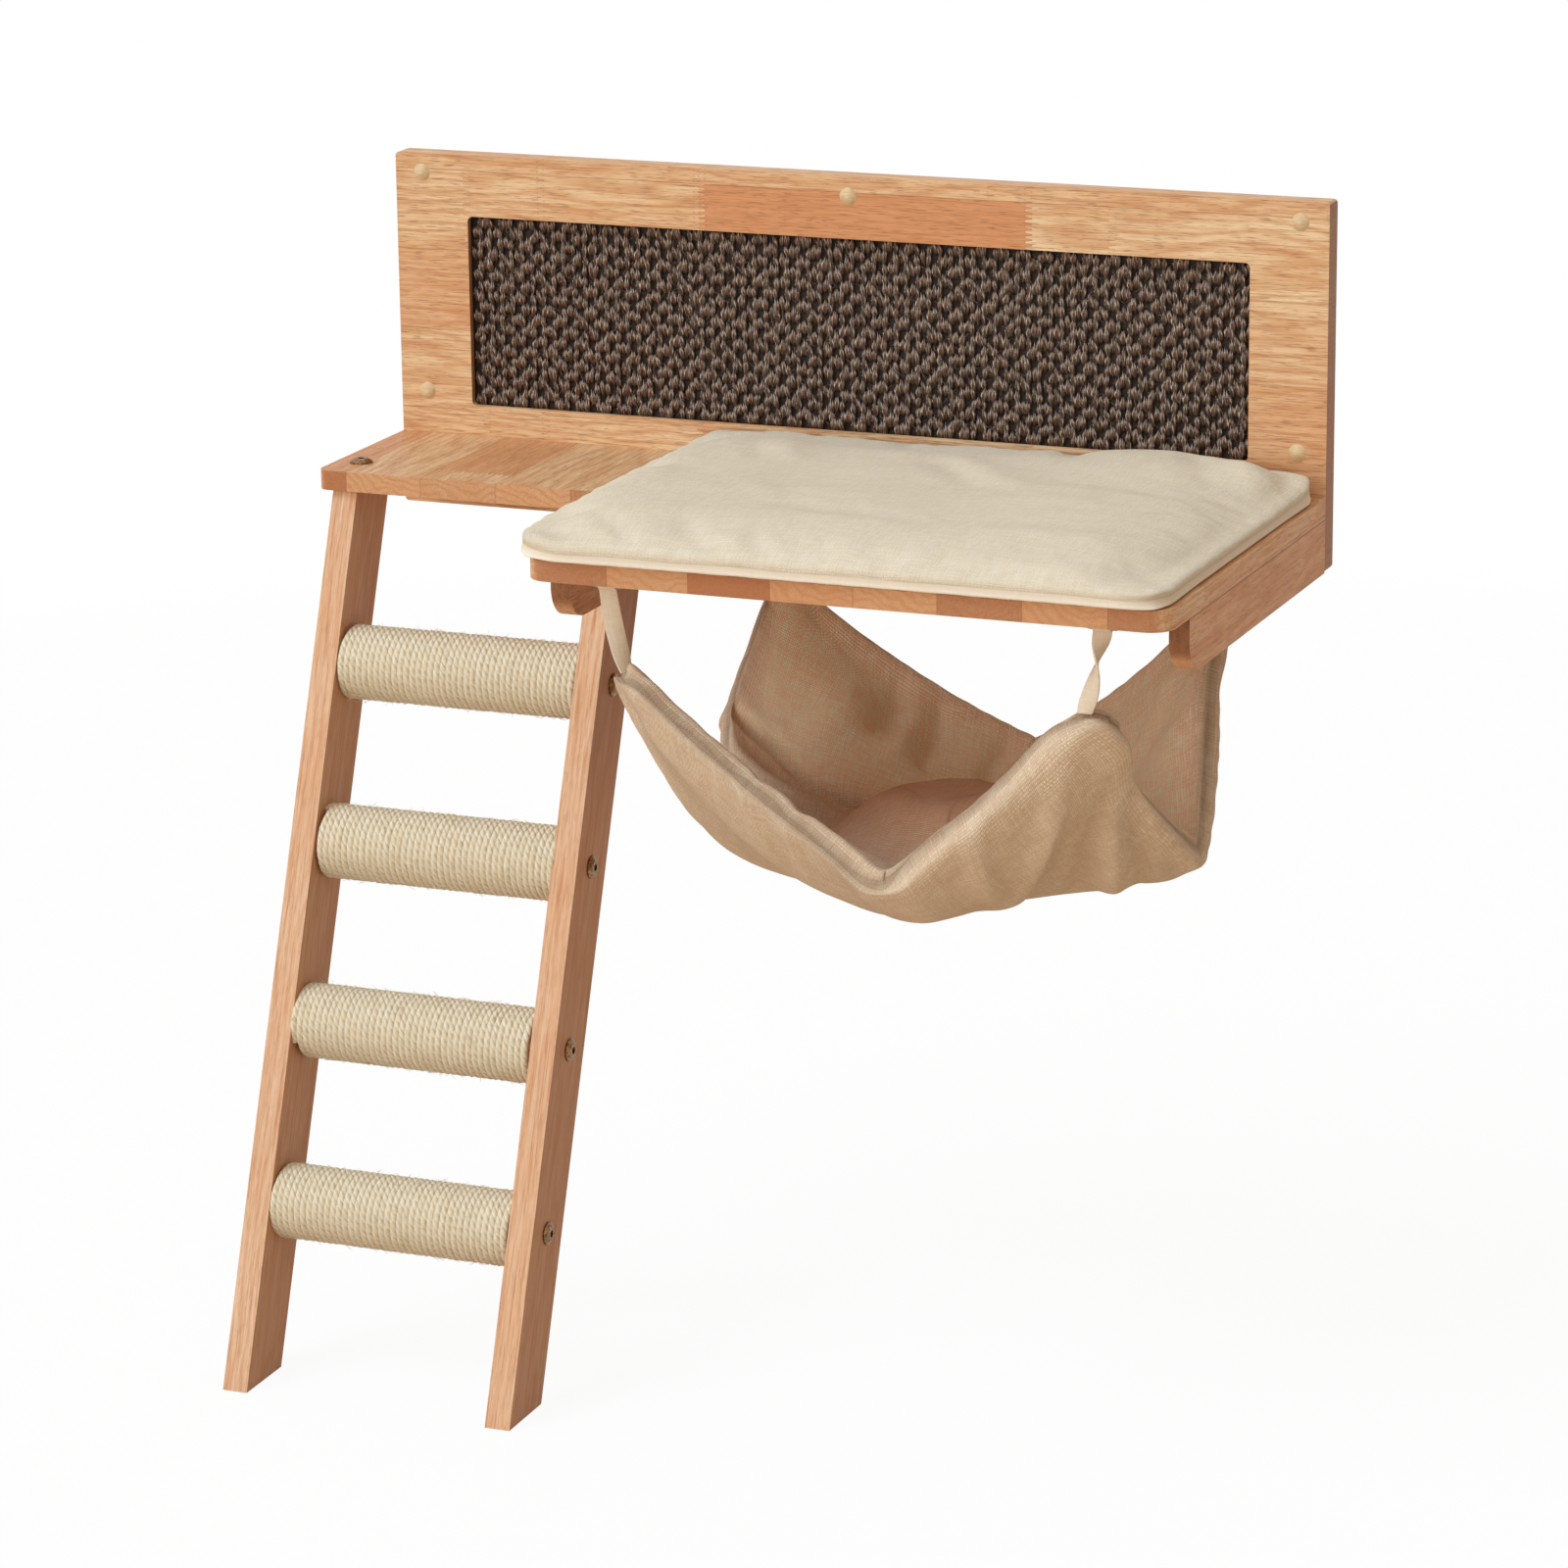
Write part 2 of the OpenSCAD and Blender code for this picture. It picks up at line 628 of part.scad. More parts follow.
// plan place of a cushion point, its corners drawn in
function cushion_xy(u, v) =
    let (mid_x = (cushion_x0 + cushion_x1) / 2, mid_y = (cushion_y0 + cushion_y1) / 2,
         half_x = (cushion_x1 - cushion_x0) / 2, half_y = (cushion_y1 - cushion_y0) / 2)
    [mid_x + half_x * u * (1 - cushion_round * pow(v, cushion_power)),
     mid_y + half_y * v * (1 - cushion_round * pow(u, cushion_power))];

// share of the full thickness, 0 at the border and 1 inside
function cushion_fill(u, v) =
    (1 - pow(abs(u), cushion_power)) * (1 - pow(abs(v), cushion_power));

// shallow waves over the crown
function cushion_wave(u, v) = cushion_wave_h * sin(cushion_wave_x * u + cushion_wave_from)
    * cos(cushion_wave_y * v) * cushion_fill(u, v);

// top of the border, which rises towards the panel
function cushion_border(v) =
    cushion_seam_z + cushion_edge_t / 2 + cushion_rear_rise * pow((1 + v) / 2, cushion_rise_power);

module seat_cushion() color("#ded2b8") placed() {
    base = shelf_top + soft_gap;
    crown = cushion_t - cushion_wave_h;
    grid = [for (i = [0:cushion_cols], j = [0:cushion_rows])
        [eased(i, cushion_cols), eased(j, cushion_rows)]];
    upper = [for (p = grid)
        let (q = cushion_xy(p[0], p[1]), f = cushion_fill(p[0], p[1]), b = cushion_border(p[1]))
        [q[0], q[1], base + b + (crown - b) * f + cushion_wave(p[0], p[1])]];
    lower = [for (p = grid) let (q = cushion_xy(p[0], p[1]), f = cushion_fill(p[0], p[1]))
        [q[0], q[1], base + (cushion_seam_z - cushion_edge_t / 2) * pow(1 - f, 3)]];
    polyhedron(concat(upper, lower), skin_faces(cushion_cols, cushion_rows), convexity = 4);
}

// place along an edge, counted from its low point so that both ends stay at -1 and 1
function from_low(s) = (s - low_point) / (s < low_point ? 1 + low_point : 1 - low_point);

// 1 at the low point of an edge and 0 at its ends, and the same for the bowl
function edge_share(d) = 1 - pow(abs(d), edge_power);
function bowl_share(s) = 1 - pow(abs(s), bowl_power);

// folds that run out of each corner, and the crease in the front edge
function fold_wave(s, t) =
    let (a = 1 - abs(s), b = 1 - abs(t), r = sqrt(a * a + b * b))
    r == 0 ? 0 : -fold_h * sin(2 * folds * atan2(b, a)) * sin(min(180, fold_run * r));
function crease(s, t) =
    -crease_h * exp(-pow((s - low_point) / crease_width, 2)) * pow(max(0, -t), crease_power);

// middle surface of the hammock, s from left to right and t from front to rear
function hammock_point(s, t) =
    let (gs = edge_share(from_low(s)), gt = edge_share(t), hs = bowl_share(s), ht = bowl_share(t),
         sag_edge = t < 0 ? sag_front : sag_rear)
    [anchor_mid_x + s * (corner_half_x + edge_bulge * gt) + drape_shift * gt,
     hammock_mid_y + t * (corner_half_y + edge_bulge * gs),
     corner_z - sag_edge * gs * (1 - ht) - sag_side * gt * (1 - hs) - sag_middle * hs * ht
         + fold_wave(s, t) + crease(s, t)];

// unit normal of the middle surface, upwards
function hammock_normal(s, t) =
    let (e = 0.002, s0 = max(-1, s - e), s1 = min(1, s + e), t0 = max(-1, t - e),
         t1 = min(1, t + e),
         n = cross(hammock_point(s1, t) - hammock_point(s0, t),
             hammock_point(s, t1) - hammock_point(s, t0)))
    n / norm(n);

// thickness of the padded mat: full in the middle, thin at the hem and least at the corners
function hammock_thickness(s, t) =
    let (m = max(abs(s), abs(t)), c = abs(s) * abs(t),
         body = hem_t + (pad_t - hem_t) * (1 - pow(m, thin_power)))
    body + (corner_t - body) * pow(c, thin_power);

module hammock_mat() color("#d9c7a6") placed() {
    n = hammock_cells;
    grid = [for (i = [0:n], j = [0:n]) [2 * i / n - 1, 2 * j / n - 1]];
    upper = [for (p = grid) hammock_point(p[0], p[1])
        + hammock_normal(p[0], p[1]) * hammock_thickness(p[0], p[1]) / 2];
    lower = [for (p = grid) hammock_point(p[0], p[1])
        - hammock_normal(p[0], p[1]) * hammock_thickness(p[0], p[1]) / 2];
    polyhedron(concat(upper, lower), skin_faces(n, n), convexity = 10);
}

function staple_leg_x() = (staple_inner_w + staple_wire_d) / 2;

// a flat band from the loop down to the hammock's corner, drawn aside and turned about itself
module strap_band(draw, turn) {
    len = bar_z - corner_z - strap_gap;
    top = -loop_in_r - strap_t / 2;
    points = [for (k = [0:strap_steps]) let (f = k / strap_steps, a = turn * f,
            c = [draw * f, 0, top + (-len - top) * f])
        for (q = [[-1, -1], [1, -1], [1, 1], [-1, 1]])
            let (x = q[0] * strap_w / 2, y = q[1] * strap_t / 2)
                c + [x * cos(a) - y * sin(a), x * sin(a) + y * cos(a), 0]];
    last = 4 * strap_steps;
    faces = concat([[0, 2, 1], [0, 3, 2]],
        [for (k = [0:strap_steps - 1], j = [0:3])
            let (a = 4 * k + j, b = 4 * k + (j + 1) % 4) each [[a, b, a + 4], [b, b + 4, a + 4]]],
        [[last, last + 1, last + 2], [last, last + 2, last + 3]]);
    polyhedron(points, faces, convexity = 4);
}

// a strap hung on the bar of its staple, side 0 at the left and 1 at the right
module strap(side, y, turn) color("#efe6d2") placed()
    translate([anchor_xs[side], y, bar_z]) {
        difference() {
            bar_x([-strap_w / 2, 0, 0], 2 * loop_out_r, strap_w);
            bar_x([-strap_w / 2 - over, 0, 0], 2 * loop_in_r, strap_w + 2 * over);
        }
        strap_band((1 - 2 * side) * corner_draw, turn);
    }

module strap_front_left() strap(0, anchor_y_front, 0);
module strap_front_right() strap(1, anchor_y_front, 180);
module strap_rear_left() strap(0, anchor_y_rear, 0);
module strap_rear_right() strap(1, anchor_y_rear, 0);

// a wire staple: a bar for the loop and two legs in the shelf
module staple() {
    leg_len = staple_drop + staple_depth;
    bar_x([-staple_leg_x(), 0, 0], staple_wire_d, 2 * staple_leg_x());
    for (side = [-1, 1]) translate([side * staple_leg_x(), 0, 0]) {
        sphere(d = staple_wire_d);
        cylinder(d = staple_wire_d, h = leg_len);
    }
}

module strap_staples() color("#b8b8b4") placed()
    for (x = anchor_xs, y = [anchor_y_front, anchor_y_rear]) translate([x, y, bar_z]) staple();

back_panel();
sisal_mat();
mat_backing();
backing_screws();
screw_caps();
shelf_board();
bracket_left();
bracket_right();
bracket_dowels();
shelf_screws();
bracket_screws();
rail_left();
rail_right();
rung_core_1();
rung_core_2();
rung_core_3();
rung_core_4();
rung_rope_1();
rung_rope_2();
rung_rope_3();
rung_rope_4();
rung_bolts_left();
rung_bolts_right();
rung_inserts();
ladder_bolts();
rail_inserts();
seat_cushion();
hammock_mat();
strap_front_left();
strap_front_right();
strap_rear_left();
strap_rear_right();
strap_staples();
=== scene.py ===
import bpy, bmesh, math, random
import numpy as np
from mathutils import Matrix, Vector


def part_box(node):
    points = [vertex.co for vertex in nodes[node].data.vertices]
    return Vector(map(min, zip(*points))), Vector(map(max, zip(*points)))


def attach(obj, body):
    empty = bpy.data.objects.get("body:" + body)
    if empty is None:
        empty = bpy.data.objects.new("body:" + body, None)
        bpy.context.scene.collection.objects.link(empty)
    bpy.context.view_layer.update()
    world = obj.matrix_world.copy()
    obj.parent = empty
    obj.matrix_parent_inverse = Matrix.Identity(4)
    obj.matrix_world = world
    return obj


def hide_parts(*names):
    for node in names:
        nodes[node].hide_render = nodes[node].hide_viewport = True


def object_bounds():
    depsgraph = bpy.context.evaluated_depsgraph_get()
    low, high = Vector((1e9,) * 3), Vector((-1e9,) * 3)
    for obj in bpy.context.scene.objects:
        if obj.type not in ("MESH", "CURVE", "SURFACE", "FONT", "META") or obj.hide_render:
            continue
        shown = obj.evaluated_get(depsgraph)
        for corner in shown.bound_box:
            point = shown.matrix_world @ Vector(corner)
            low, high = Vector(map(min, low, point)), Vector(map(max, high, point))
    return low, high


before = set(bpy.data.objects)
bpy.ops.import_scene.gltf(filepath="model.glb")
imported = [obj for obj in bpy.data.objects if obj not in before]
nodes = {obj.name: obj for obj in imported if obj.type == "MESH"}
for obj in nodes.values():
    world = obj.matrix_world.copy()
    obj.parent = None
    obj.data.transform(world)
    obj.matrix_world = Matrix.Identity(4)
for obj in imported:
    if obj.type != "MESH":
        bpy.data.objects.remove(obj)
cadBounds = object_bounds()
scene = bpy.context.scene
mm = 0.001
origin = (375.0, 0.0, 174.75)       # the frame's, in mm from the panel's lower left corner
halfTurn, fullTurn = 3.14159, 6.283185
print("frame loaded,", len(nodes), "nodes")


def place(x, y, z):
    # millimetres from the panel's lower left corner at the wall, to metres in the frame
    return Vector(((x - origin[0]) * mm, y * mm, (z - origin[2]) * mm))


# camera, light and floor

camera = {
    "at": (1.534575, -3.937702, 0.804436),
    "right": (0.92756719, 0.37348839, -0.01120436),
    "up": (-0.09047309, 0.25358347, 0.96307323),
    "forward": (-0.36253791, 0.89230143, -0.26900636),
    "focalPixels": 5783.154, "imagePixels": 1600, "sensor": 36, "reach": 60,
}
lens = bpy.data.cameras.new("camera")
lens.sensor_width = camera["sensor"]
lens.lens = camera["focalPixels"] * camera["sensor"] / camera["imagePixels"]
lens.clip_end = camera["reach"]
cameraObject = bpy.data.objects.new("camera", lens)
turn = Matrix((camera["right"], camera["up"], [-c for c in camera["forward"]])).transposed()
cameraObject.matrix_world = Matrix.Translation(camera["at"]) @ turn.to_4x4()
scene.collection.objects.link(cameraObject)
scene.camera = cameraObject
scene.view_settings.view_transform = "Standard"

light = {
    "suns": {                       # towards it, strength, colour, softness in degrees
        "key": ((-0.42, -0.48, 0.88), 1.1, (0.78, 1.0, 1.17), 32),
        "low": ((-0.42, -0.90, 0.10), 1.30, (1.0, 1.0, 0.98), 50),
    },
    "fill": 0.365,
    "fillColor": (1.15, 1.0, 0.87),
    "lean": (-0.34, -0.15, 0.85),   # the fill is stronger from the left, the front and above
}
for name, (towards, strength, color, softness) in light["suns"].items():
    sun = bpy.data.lights.new(name, "SUN")
    sun.energy, sun.angle, sun.color = strength, math.radians(softness), color
    sunObject = bpy.data.objects.new(name, sun)
    sunObject.rotation_euler = Vector(towards).to_track_quat("Z", "Y").to_euler()
    scene.collection.objects.link(sunObject)


class Graph:                        # a short way to write a node tree
    prefix = "ShaderNode"           # of kinds that are named without one

    def __init__(self, tree):
        self.tree = tree
        tree.nodes.clear()

    def put(self, socket, value):
        if value is None:
            return
        if hasattr(value, "outputs"):
            value = value.outputs[0]
        if isinstance(value, bpy.types.NodeSocket):
            self.tree.links.new(value, socket)
        else:
            socket.default_value = value

    def node(self, kind, *values, **props):
        made = self.tree.nodes.new(kind if "Node" in kind else self.prefix + kind)
        for name, value in props.items():
            setattr(made, name, value)
        for socket, value in zip(made.inputs, values):
            self.put(socket, value)
        return made

    def named(self, kind, values, **props):
        made = self.node(kind, **props)
        for name, value in values.items():
            self.put(made.inputs[name], value)
        return made

    def math(self, operation, a, b=None, c=None):
        return self.node("ShaderNodeMath", a, b, c, operation=operation).outputs[0]

    def add(self, a, b):
        return self.math("ADD", a, b)

    def sub(self, a, b):
        return self.math("SUBTRACT", a, b)

    def mul(self, a, b):
        return self.math("MULTIPLY", a, b)

    def mulAdd(self, a, b, c):
        return self.math("MULTIPLY_ADD", a, b, c)

    def between(self, value, low, high):
        return self.mul(self.math("GREATER_THAN", value, low), self.math("LESS_THAN", value, high))

    def vector(self, operation, a, b=None):
        made = self.node("ShaderNodeVectorMath", a, b, operation=operation)
        return made.outputs[1 if operation in ("DOT_PRODUCT", "LENGTH") else 0]

    def scaled(self, a, factors):
        return self.vector("MULTIPLY", a, factors)

    def join(self, x, y, z):
        return self.node("ShaderNodeCombineXYZ", x, y, z).outputs[0]

    def split(self, value):
        return self.node("ShaderNodeSeparateXYZ", value).outputs

    def mark(self, name, output="Fac"):
        return self.node("Attribute", attribute_name=name).outputs[output]

    def coords(self, kind="Object"):
        return self.node("TexCoord").outputs[kind]

    def millimetres(self):
        return self.scaled(self.coords(), (1000, 1000, 1000))

    def mix(self, factor, a, b, blend="MIX"):
        made = self.node("Mix", data_type="RGBA", blend_type=blend)
        for k, value in ((0, factor), (6, a), (7, b)):
            self.put(made.inputs[k], value)
        return made.outputs[2]

    def layer(self, tone, color, where, share):
        return self.mix(self.mul(where, share), tone, color)

    def step(self, value, low, high):
        made = self.node("MapRange", value, low, high, 0.0, 1.0)
        made.interpolation_type = "SMOOTHSTEP"
        return made.outputs[0]

    def cloud(self, point, scale=1.0, detail=2.0, roughness=0.5):
        return self.named("TexNoise", {
            "Vector": point, "Scale": scale, "Detail": detail, "Roughness": roughness,
            "Distortion": 0.0}, noise_dimensions="3D").outputs[0]

    def seen(self):                 # 1 for what the picture shows, 0 for light that bounces
        rays = self.node("LightPath").outputs
        return self.math("MAXIMUM", rays["Is Camera Ray"],
                         self.math("MAXIMUM", rays["Is Glossy Ray"], rays["Is Transmission Ray"]))


world = bpy.data.worlds.new("studio")
scene.world = world
world.use_nodes = True
g = Graph(world.node_tree)
side = g.vector("DOT_PRODUCT", g.coords("Generated"), light["lean"])
level = g.mulAdd(side, light["fill"], light["fill"])
fill = g.node("Background", (*light["fillColor"], 1), level)
white = g.node("Background", (1, 1, 1, 1), 1.0)
g.node("OutputWorld", g.node("MixShader", g.seen(), fill, white))


def linear(r, g, b):                # a colour as a screen shows it, 0 to 255
    return tuple(c / 12.92 if c <= 0.04045 else ((c + 0.055) / 1.055) ** 2.4
                 for c in (r / 255, g / 255, b / 255)) + (1.0,)


def newMaterial(name):
    material = bpy.data.materials.new(name)
    material.use_nodes = True
    return material, Graph(material.node_tree)


def finishMaterial(g, color, bump, bumpDepth, surface):
    shader = g.named("BsdfPrincipled", {"Base Color": color, **surface})
    bumped = g.named("Bump", {"Strength": 1.0, "Distance": bumpDepth, "Height": bump})
    g.put(shader.inputs["Normal"], bumped)
    g.node("OutputMaterial", shader)


floorLook = {"nearFade": 0.7, "farFade": 2.6, "half": 9.0, "under": 0.0005, "leastGlow": 0.93,
             "tone": (0.92, 0.92, 0.92, 1), "bounce": (0.70, 0.54, 0.39, 1)}
floorMesh = bpy.data.meshes.new("floor")
h, z = floorLook["half"], cadBounds[0][2] - floorLook["under"]
floorMesh.from_pydata([(-h, -h, z), (h, -h, z), (h, h, z), (-h, h, z)], [], [(0, 1, 2, 3)])
floor = bpy.data.objects.new("floor", floorMesh)
scene.collection.objects.link(floor)
material, g = newMaterial("paleFloor")
away = g.vector("LENGTH", g.scaled(g.coords(), (1, 1, 0)))
fade = g.step(away, floorLook["nearFade"], floorLook["farFade"])
seen = g.seen()
matte = g.node("BsdfDiffuse", g.mix(seen, floorLook["bounce"], floorLook["tone"]))
glow = g.node("Emission", (1, 1, 1, 1), 1.0)
share = g.mul(seen, g.math("MAXIMUM", fade, floorLook["leastGlow"]))
g.node("OutputMaterial", g.node("MixShader", share, matte, glow))
floorMesh.materials.append(material)


# finishes

def woodMaterial(name, look):
    material, g = newMaterial(name)
    point, normal = g.millimetres(), g.coords("Normal")
    along, across, depth = (g.vector("DOT_PRODUCT", point, look[way])
                            for way in ("along", "across", "depth"))
    across = g.sub(across, look["staveStart"])
    staves = g.math("DIVIDE", across, look["staveWidth"])
    stave, inStave = g.math("FLOOR", staves), g.math("FRACT", staves)
    staveDraw = g.named("TexWhiteNoise", {"W": g.add(stave, look["seed"])},
                        noise_dimensions="1D")
    tooth = g.math("PINGPONG", g.math("DIVIDE", across, look["toothPitch"]), 0.5)
    toothed = g.mulAdd(g.step(tooth, 0.08, 0.42), look["toothDepth"], along)
    blocks = g.math("DIVIDE", toothed, look["blockLength"])
    blocks = g.add(blocks, g.mul(staveDraw.outputs["Value"], 7.0))
    block, inBlock = g.math("FLOOR", blocks), g.math("FRACT", blocks)
    draw = g.named("TexWhiteNoise", {
        "Vector": g.join(stave, block, look["seed"] + 0.5)}, noise_dimensions="3D")
    parts = g.node("SeparateColor", draw.outputs["Color"]).outputs
    red, paler, other = g.math("POWER", parts[0], look["redRarity"]), parts[1], parts[2]
    placed = look.get("blocks", ())
    for low, high, start, end, redness, paleness in placed:
        inside = g.mul(g.between(across, low - look["staveStart"], high - look["staveStart"]),
                       g.between(toothed, start, end))
        red = g.mulAdd(g.sub(redness, red), inside, red)
        paler = g.mulAdd(g.sub(paleness, paler), inside, paler)
    # each block is cut from its own place in the tree
    pith = g.mulAdd(other, look["pithSpread"], -0.5 * look["pithSpread"])
    q = g.mulAdd(other, 900, along), g.mulAdd(paler, 70, across), g.mulAdd(red, 40, depth)

    def grain(lengthwise, crosswise, detail, roughness=0.5):
        spot = g.join(*map(g.mul, q, (lengthwise, crosswise, crosswise)))
        return g.cloud(spot, detail=detail, roughness=roughness)

    slow = grain(0.006, 0.03, 2.0)
    fromPith = g.sub(g.mul(g.sub(inStave, 0.5), look["staveWidth"]), pith)
    deep = g.add(depth, g.mulAdd(paler, 40, 18))
    radius = g.math("SQRT", g.add(g.mul(fromPith, fromPith), g.mul(deep, deep)))
    radius = g.add(radius, g.mul(slow, 34))
    radius = g.add(radius, g.mul(along, g.mulAdd(paler, 0.08, -0.04)))
    rings = g.math("SINE", g.mul(radius, 6.2832 / look["ringWidth"]))
    rings = g.math("POWER", g.mulAdd(rings, 0.5, 0.5), 2.2)
    streak = grain(0.014, 0.34, 5.0, 0.62)
    fine = grain(0.07, 1.5, 3.0, 0.7)
    pores = g.step(grain(0.085, 1.35, 1.0), 0.56, 0.70)
    lines = g.step(grain(0.02, 0.95, 3.0, 0.6), 0.50, 0.66)
    patch = grain(0.012, 0.035, 1.5)
    tone = g.mix(paler, look["tan"], look["pale"])
    tone = g.mix(g.step(patch, 0.38, 0.72), tone, look["tan"])
    tone = g.mix(red, tone, look["red"])
    for color, where, share in (
            ("streak", g.step(streak, 0.46, 0.70), g.mulAdd(red, 0.35, look["streakStrength"])),
            ("streak", rings, look["ringStrength"]), ("streak", g.step(fine, 0.40, 0.70), 0.34),
            ("line", lines, look["lineStrength"]), ("pore", pores, look["poreStrength"])):
        tone = g.layer(tone, look[color], where, share)

    def facing(way):
        return g.step(g.math("ABSOLUTE", g.vector("DOT_PRODUCT", normal, look[way])), 0.7, 0.97)

    speckle = g.cloud(g.scaled(point, (1.1, 1.1, 1.1)), roughness=0.7)
    endTone = g.mix(g.step(other, 0.30, 0.70), look["endGrain"], look["endPale"])
    endTone = g.layer(endTone, look["line"], rings, 0.30)
    endTone = g.layer(endTone, look["pore"], g.step(speckle, 0.50, 0.68), 0.42)
    tone = g.layer(tone, endTone, facing("along"), 0.72)
    # the browner side faces are painted shade
    if "side" in look:                  # the wide faces are browner than the narrow ones
        tone = g.layer(tone, look["side"], facing("depth"), 0.5)

    def gap(distance, reach, strength):
        return g.mul(g.sub(1.0, g.step(distance, *reach)), strength)

    seam = g.mul(g.math("MINIMUM", inStave, g.sub(1.0, inStave)), look["staveWidth"])
    joint = g.mul(inBlock, look["blockLength"])
    for low, high, start, end, redness, paleness in placed:
        joint = g.math("MINIMUM", joint, g.math("ABSOLUTE", g.sub(toothed, end)))
    gaps = g.math("MAXIMUM", gap(seam, look["seamReach"], look["seamStrength"]),
                  gap(joint, look["jointReach"], look["jointStrength"]))
    tone = g.mix(gaps, tone, look["pore"])
    finishMaterial(g, tone, g.mulAdd(pores, -0.6, g.mul(fine, 0.5)), look["bumpDepth"], {
        "Roughness": g.mulAdd(streak, 0.22, look["roughness"]), "Specular IOR Level": 0.2})
    return material


upright = {"along": (1, 0, 0), "across": (0, 0, 1), "depth": (0, 1, 0)}
woodTones = {
    "pale": linear(236, 211, 170), "tan": linear(227, 190, 146), "red": linear(212, 149, 105),
    "streak": linear(199, 138, 92), "line": linear(180, 116, 73), "pore": linear(138, 85, 52),
    "endGrain": linear(164, 102, 66), "endPale": linear(206, 152, 108), "lineStrength": 0.54,
    "ringWidth": 6.5, "ringStrength": 0.52, "streakStrength": 0.58, "poreStrength": 0.50,
    "seamStrength": 0.40, "jointStrength": 0.40, "seamReach": (0.1, 0.6),
    "jointReach": (0.15, 0.75), "roughness": 0.40, "toothPitch": 4.0, "toothDepth": 5.5,
    "redRarity": 3.0, "pithSpread": 90.0, "bumpDepth": 0.00012,
}
panelWood = woodMaterial("panelWood", {
    **woodTones, **upright, "seed": 3.0,
    # its ends are darker than other end grain: partly its own end grain, partly painted shade like
    # that on its shaded right end
    "endGrain": linear(118, 66, 34), "endPale": linear(130, 74, 40),
    "staveWidth": 62.5, "staveStart": 263.5 - origin[2], "blockLength": 262.0,
    # (low, high) across and (start, end) along in mm, then how red and how pale
    "blocks": [
        (26.25, 88.75, -400, -116, 0.05, 0.8), (26.25, 88.75, -116, 146, 0.95, 0.3),
        (26.25, 88.75, 146, 420, 0.0, 1.0), (-36.25, 26.25, -420, -250, 0.42, 0.5),
        (-98.75, -36.25, -420, -250, 0.02, 0.8), (-36.25, 26.25, 250, 420, 0.12, 0.8),
        (-98.75, -36.25, 250, 420, 0.42, 0.6), (-161.25, -98.75, -420, -120, 0.0, 1.0),
        (-161.25, -98.75, -120, 420, 0.4, 0.5), (88.75, 120, -420, 420, 0.2, 0.7)],
})
shelfWood = woodMaterial("shelfWood", {
    **woodTones, "along": (0, 1, 0), "across": (1, 0, 0), "depth": (0, 0, 1), "seed": 11.0,
    "staveWidth": 62.0, "staveStart": 22.0, "blockLength": 300.0,
})
bracketWood = woodMaterial("bracketWood", {
    **woodTones, "along": (0, 1, 0), "across": (0, 0, 1), "depth": (1, 0, 0), "seed": 21.0,
    # a stave seam lies at its top edge and is drawn strong and wide: painted shade under the shelf
    "staveWidth": 90.0, "staveStart": -223.5, "blockLength": 210.0, "redRarity": 1.3,
    "seamStrength": 0.9, "seamReach": (0.8, 1.7), "jointStrength": 0.16,
    # its end grain is very dark: partly its own end grain, partly painted shade
    "endGrain": linear(92, 44, 20), "endPale": linear(92, 44, 20),
})
lean = math.radians(20)
railWood = woodMaterial("railWood", {
    **woodTones, "along": (0, math.sin(lean), math.cos(lean)),
    "across": (0, math.cos(lean), -math.sin(lean)), "depth": (1, 0, 0), "seed": 35.0,
    "staveWidth": 200.0, "staveStart": -420.0, "blockLength": 2600.0, "redRarity": 4.0,
    # the side colour is painted shade on the rails' side faces
    "pale": linear(240, 225, 200), "tan": linear(232, 208, 176), "side": linear(172, 112, 66),
    "ringStrength": 0.34, "streakStrength": 0.36, "lineStrength": 0.5, "poreStrength": 0.22,
    "seamStrength": 0.0, "jointStrength": 0.0, "pithSpread": 40.0,
})
oneBlock = {
    **woodTones, **upright, "staveWidth": 900.0, "staveStart": -500.0, "blockLength": 2000.0,
    "seamStrength": 0.0, "jointStrength": 0.0,
}
coreWood = woodMaterial("coreWood", {**oneBlock, "seed": 41.0})
backWood = woodMaterial("backWood", {
    **oneBlock, "seed": 52.0, "pale": linear(213, 179, 132), "tan": linear(204, 163, 114),
    "roughness": 0.6,
})
print("wood made")


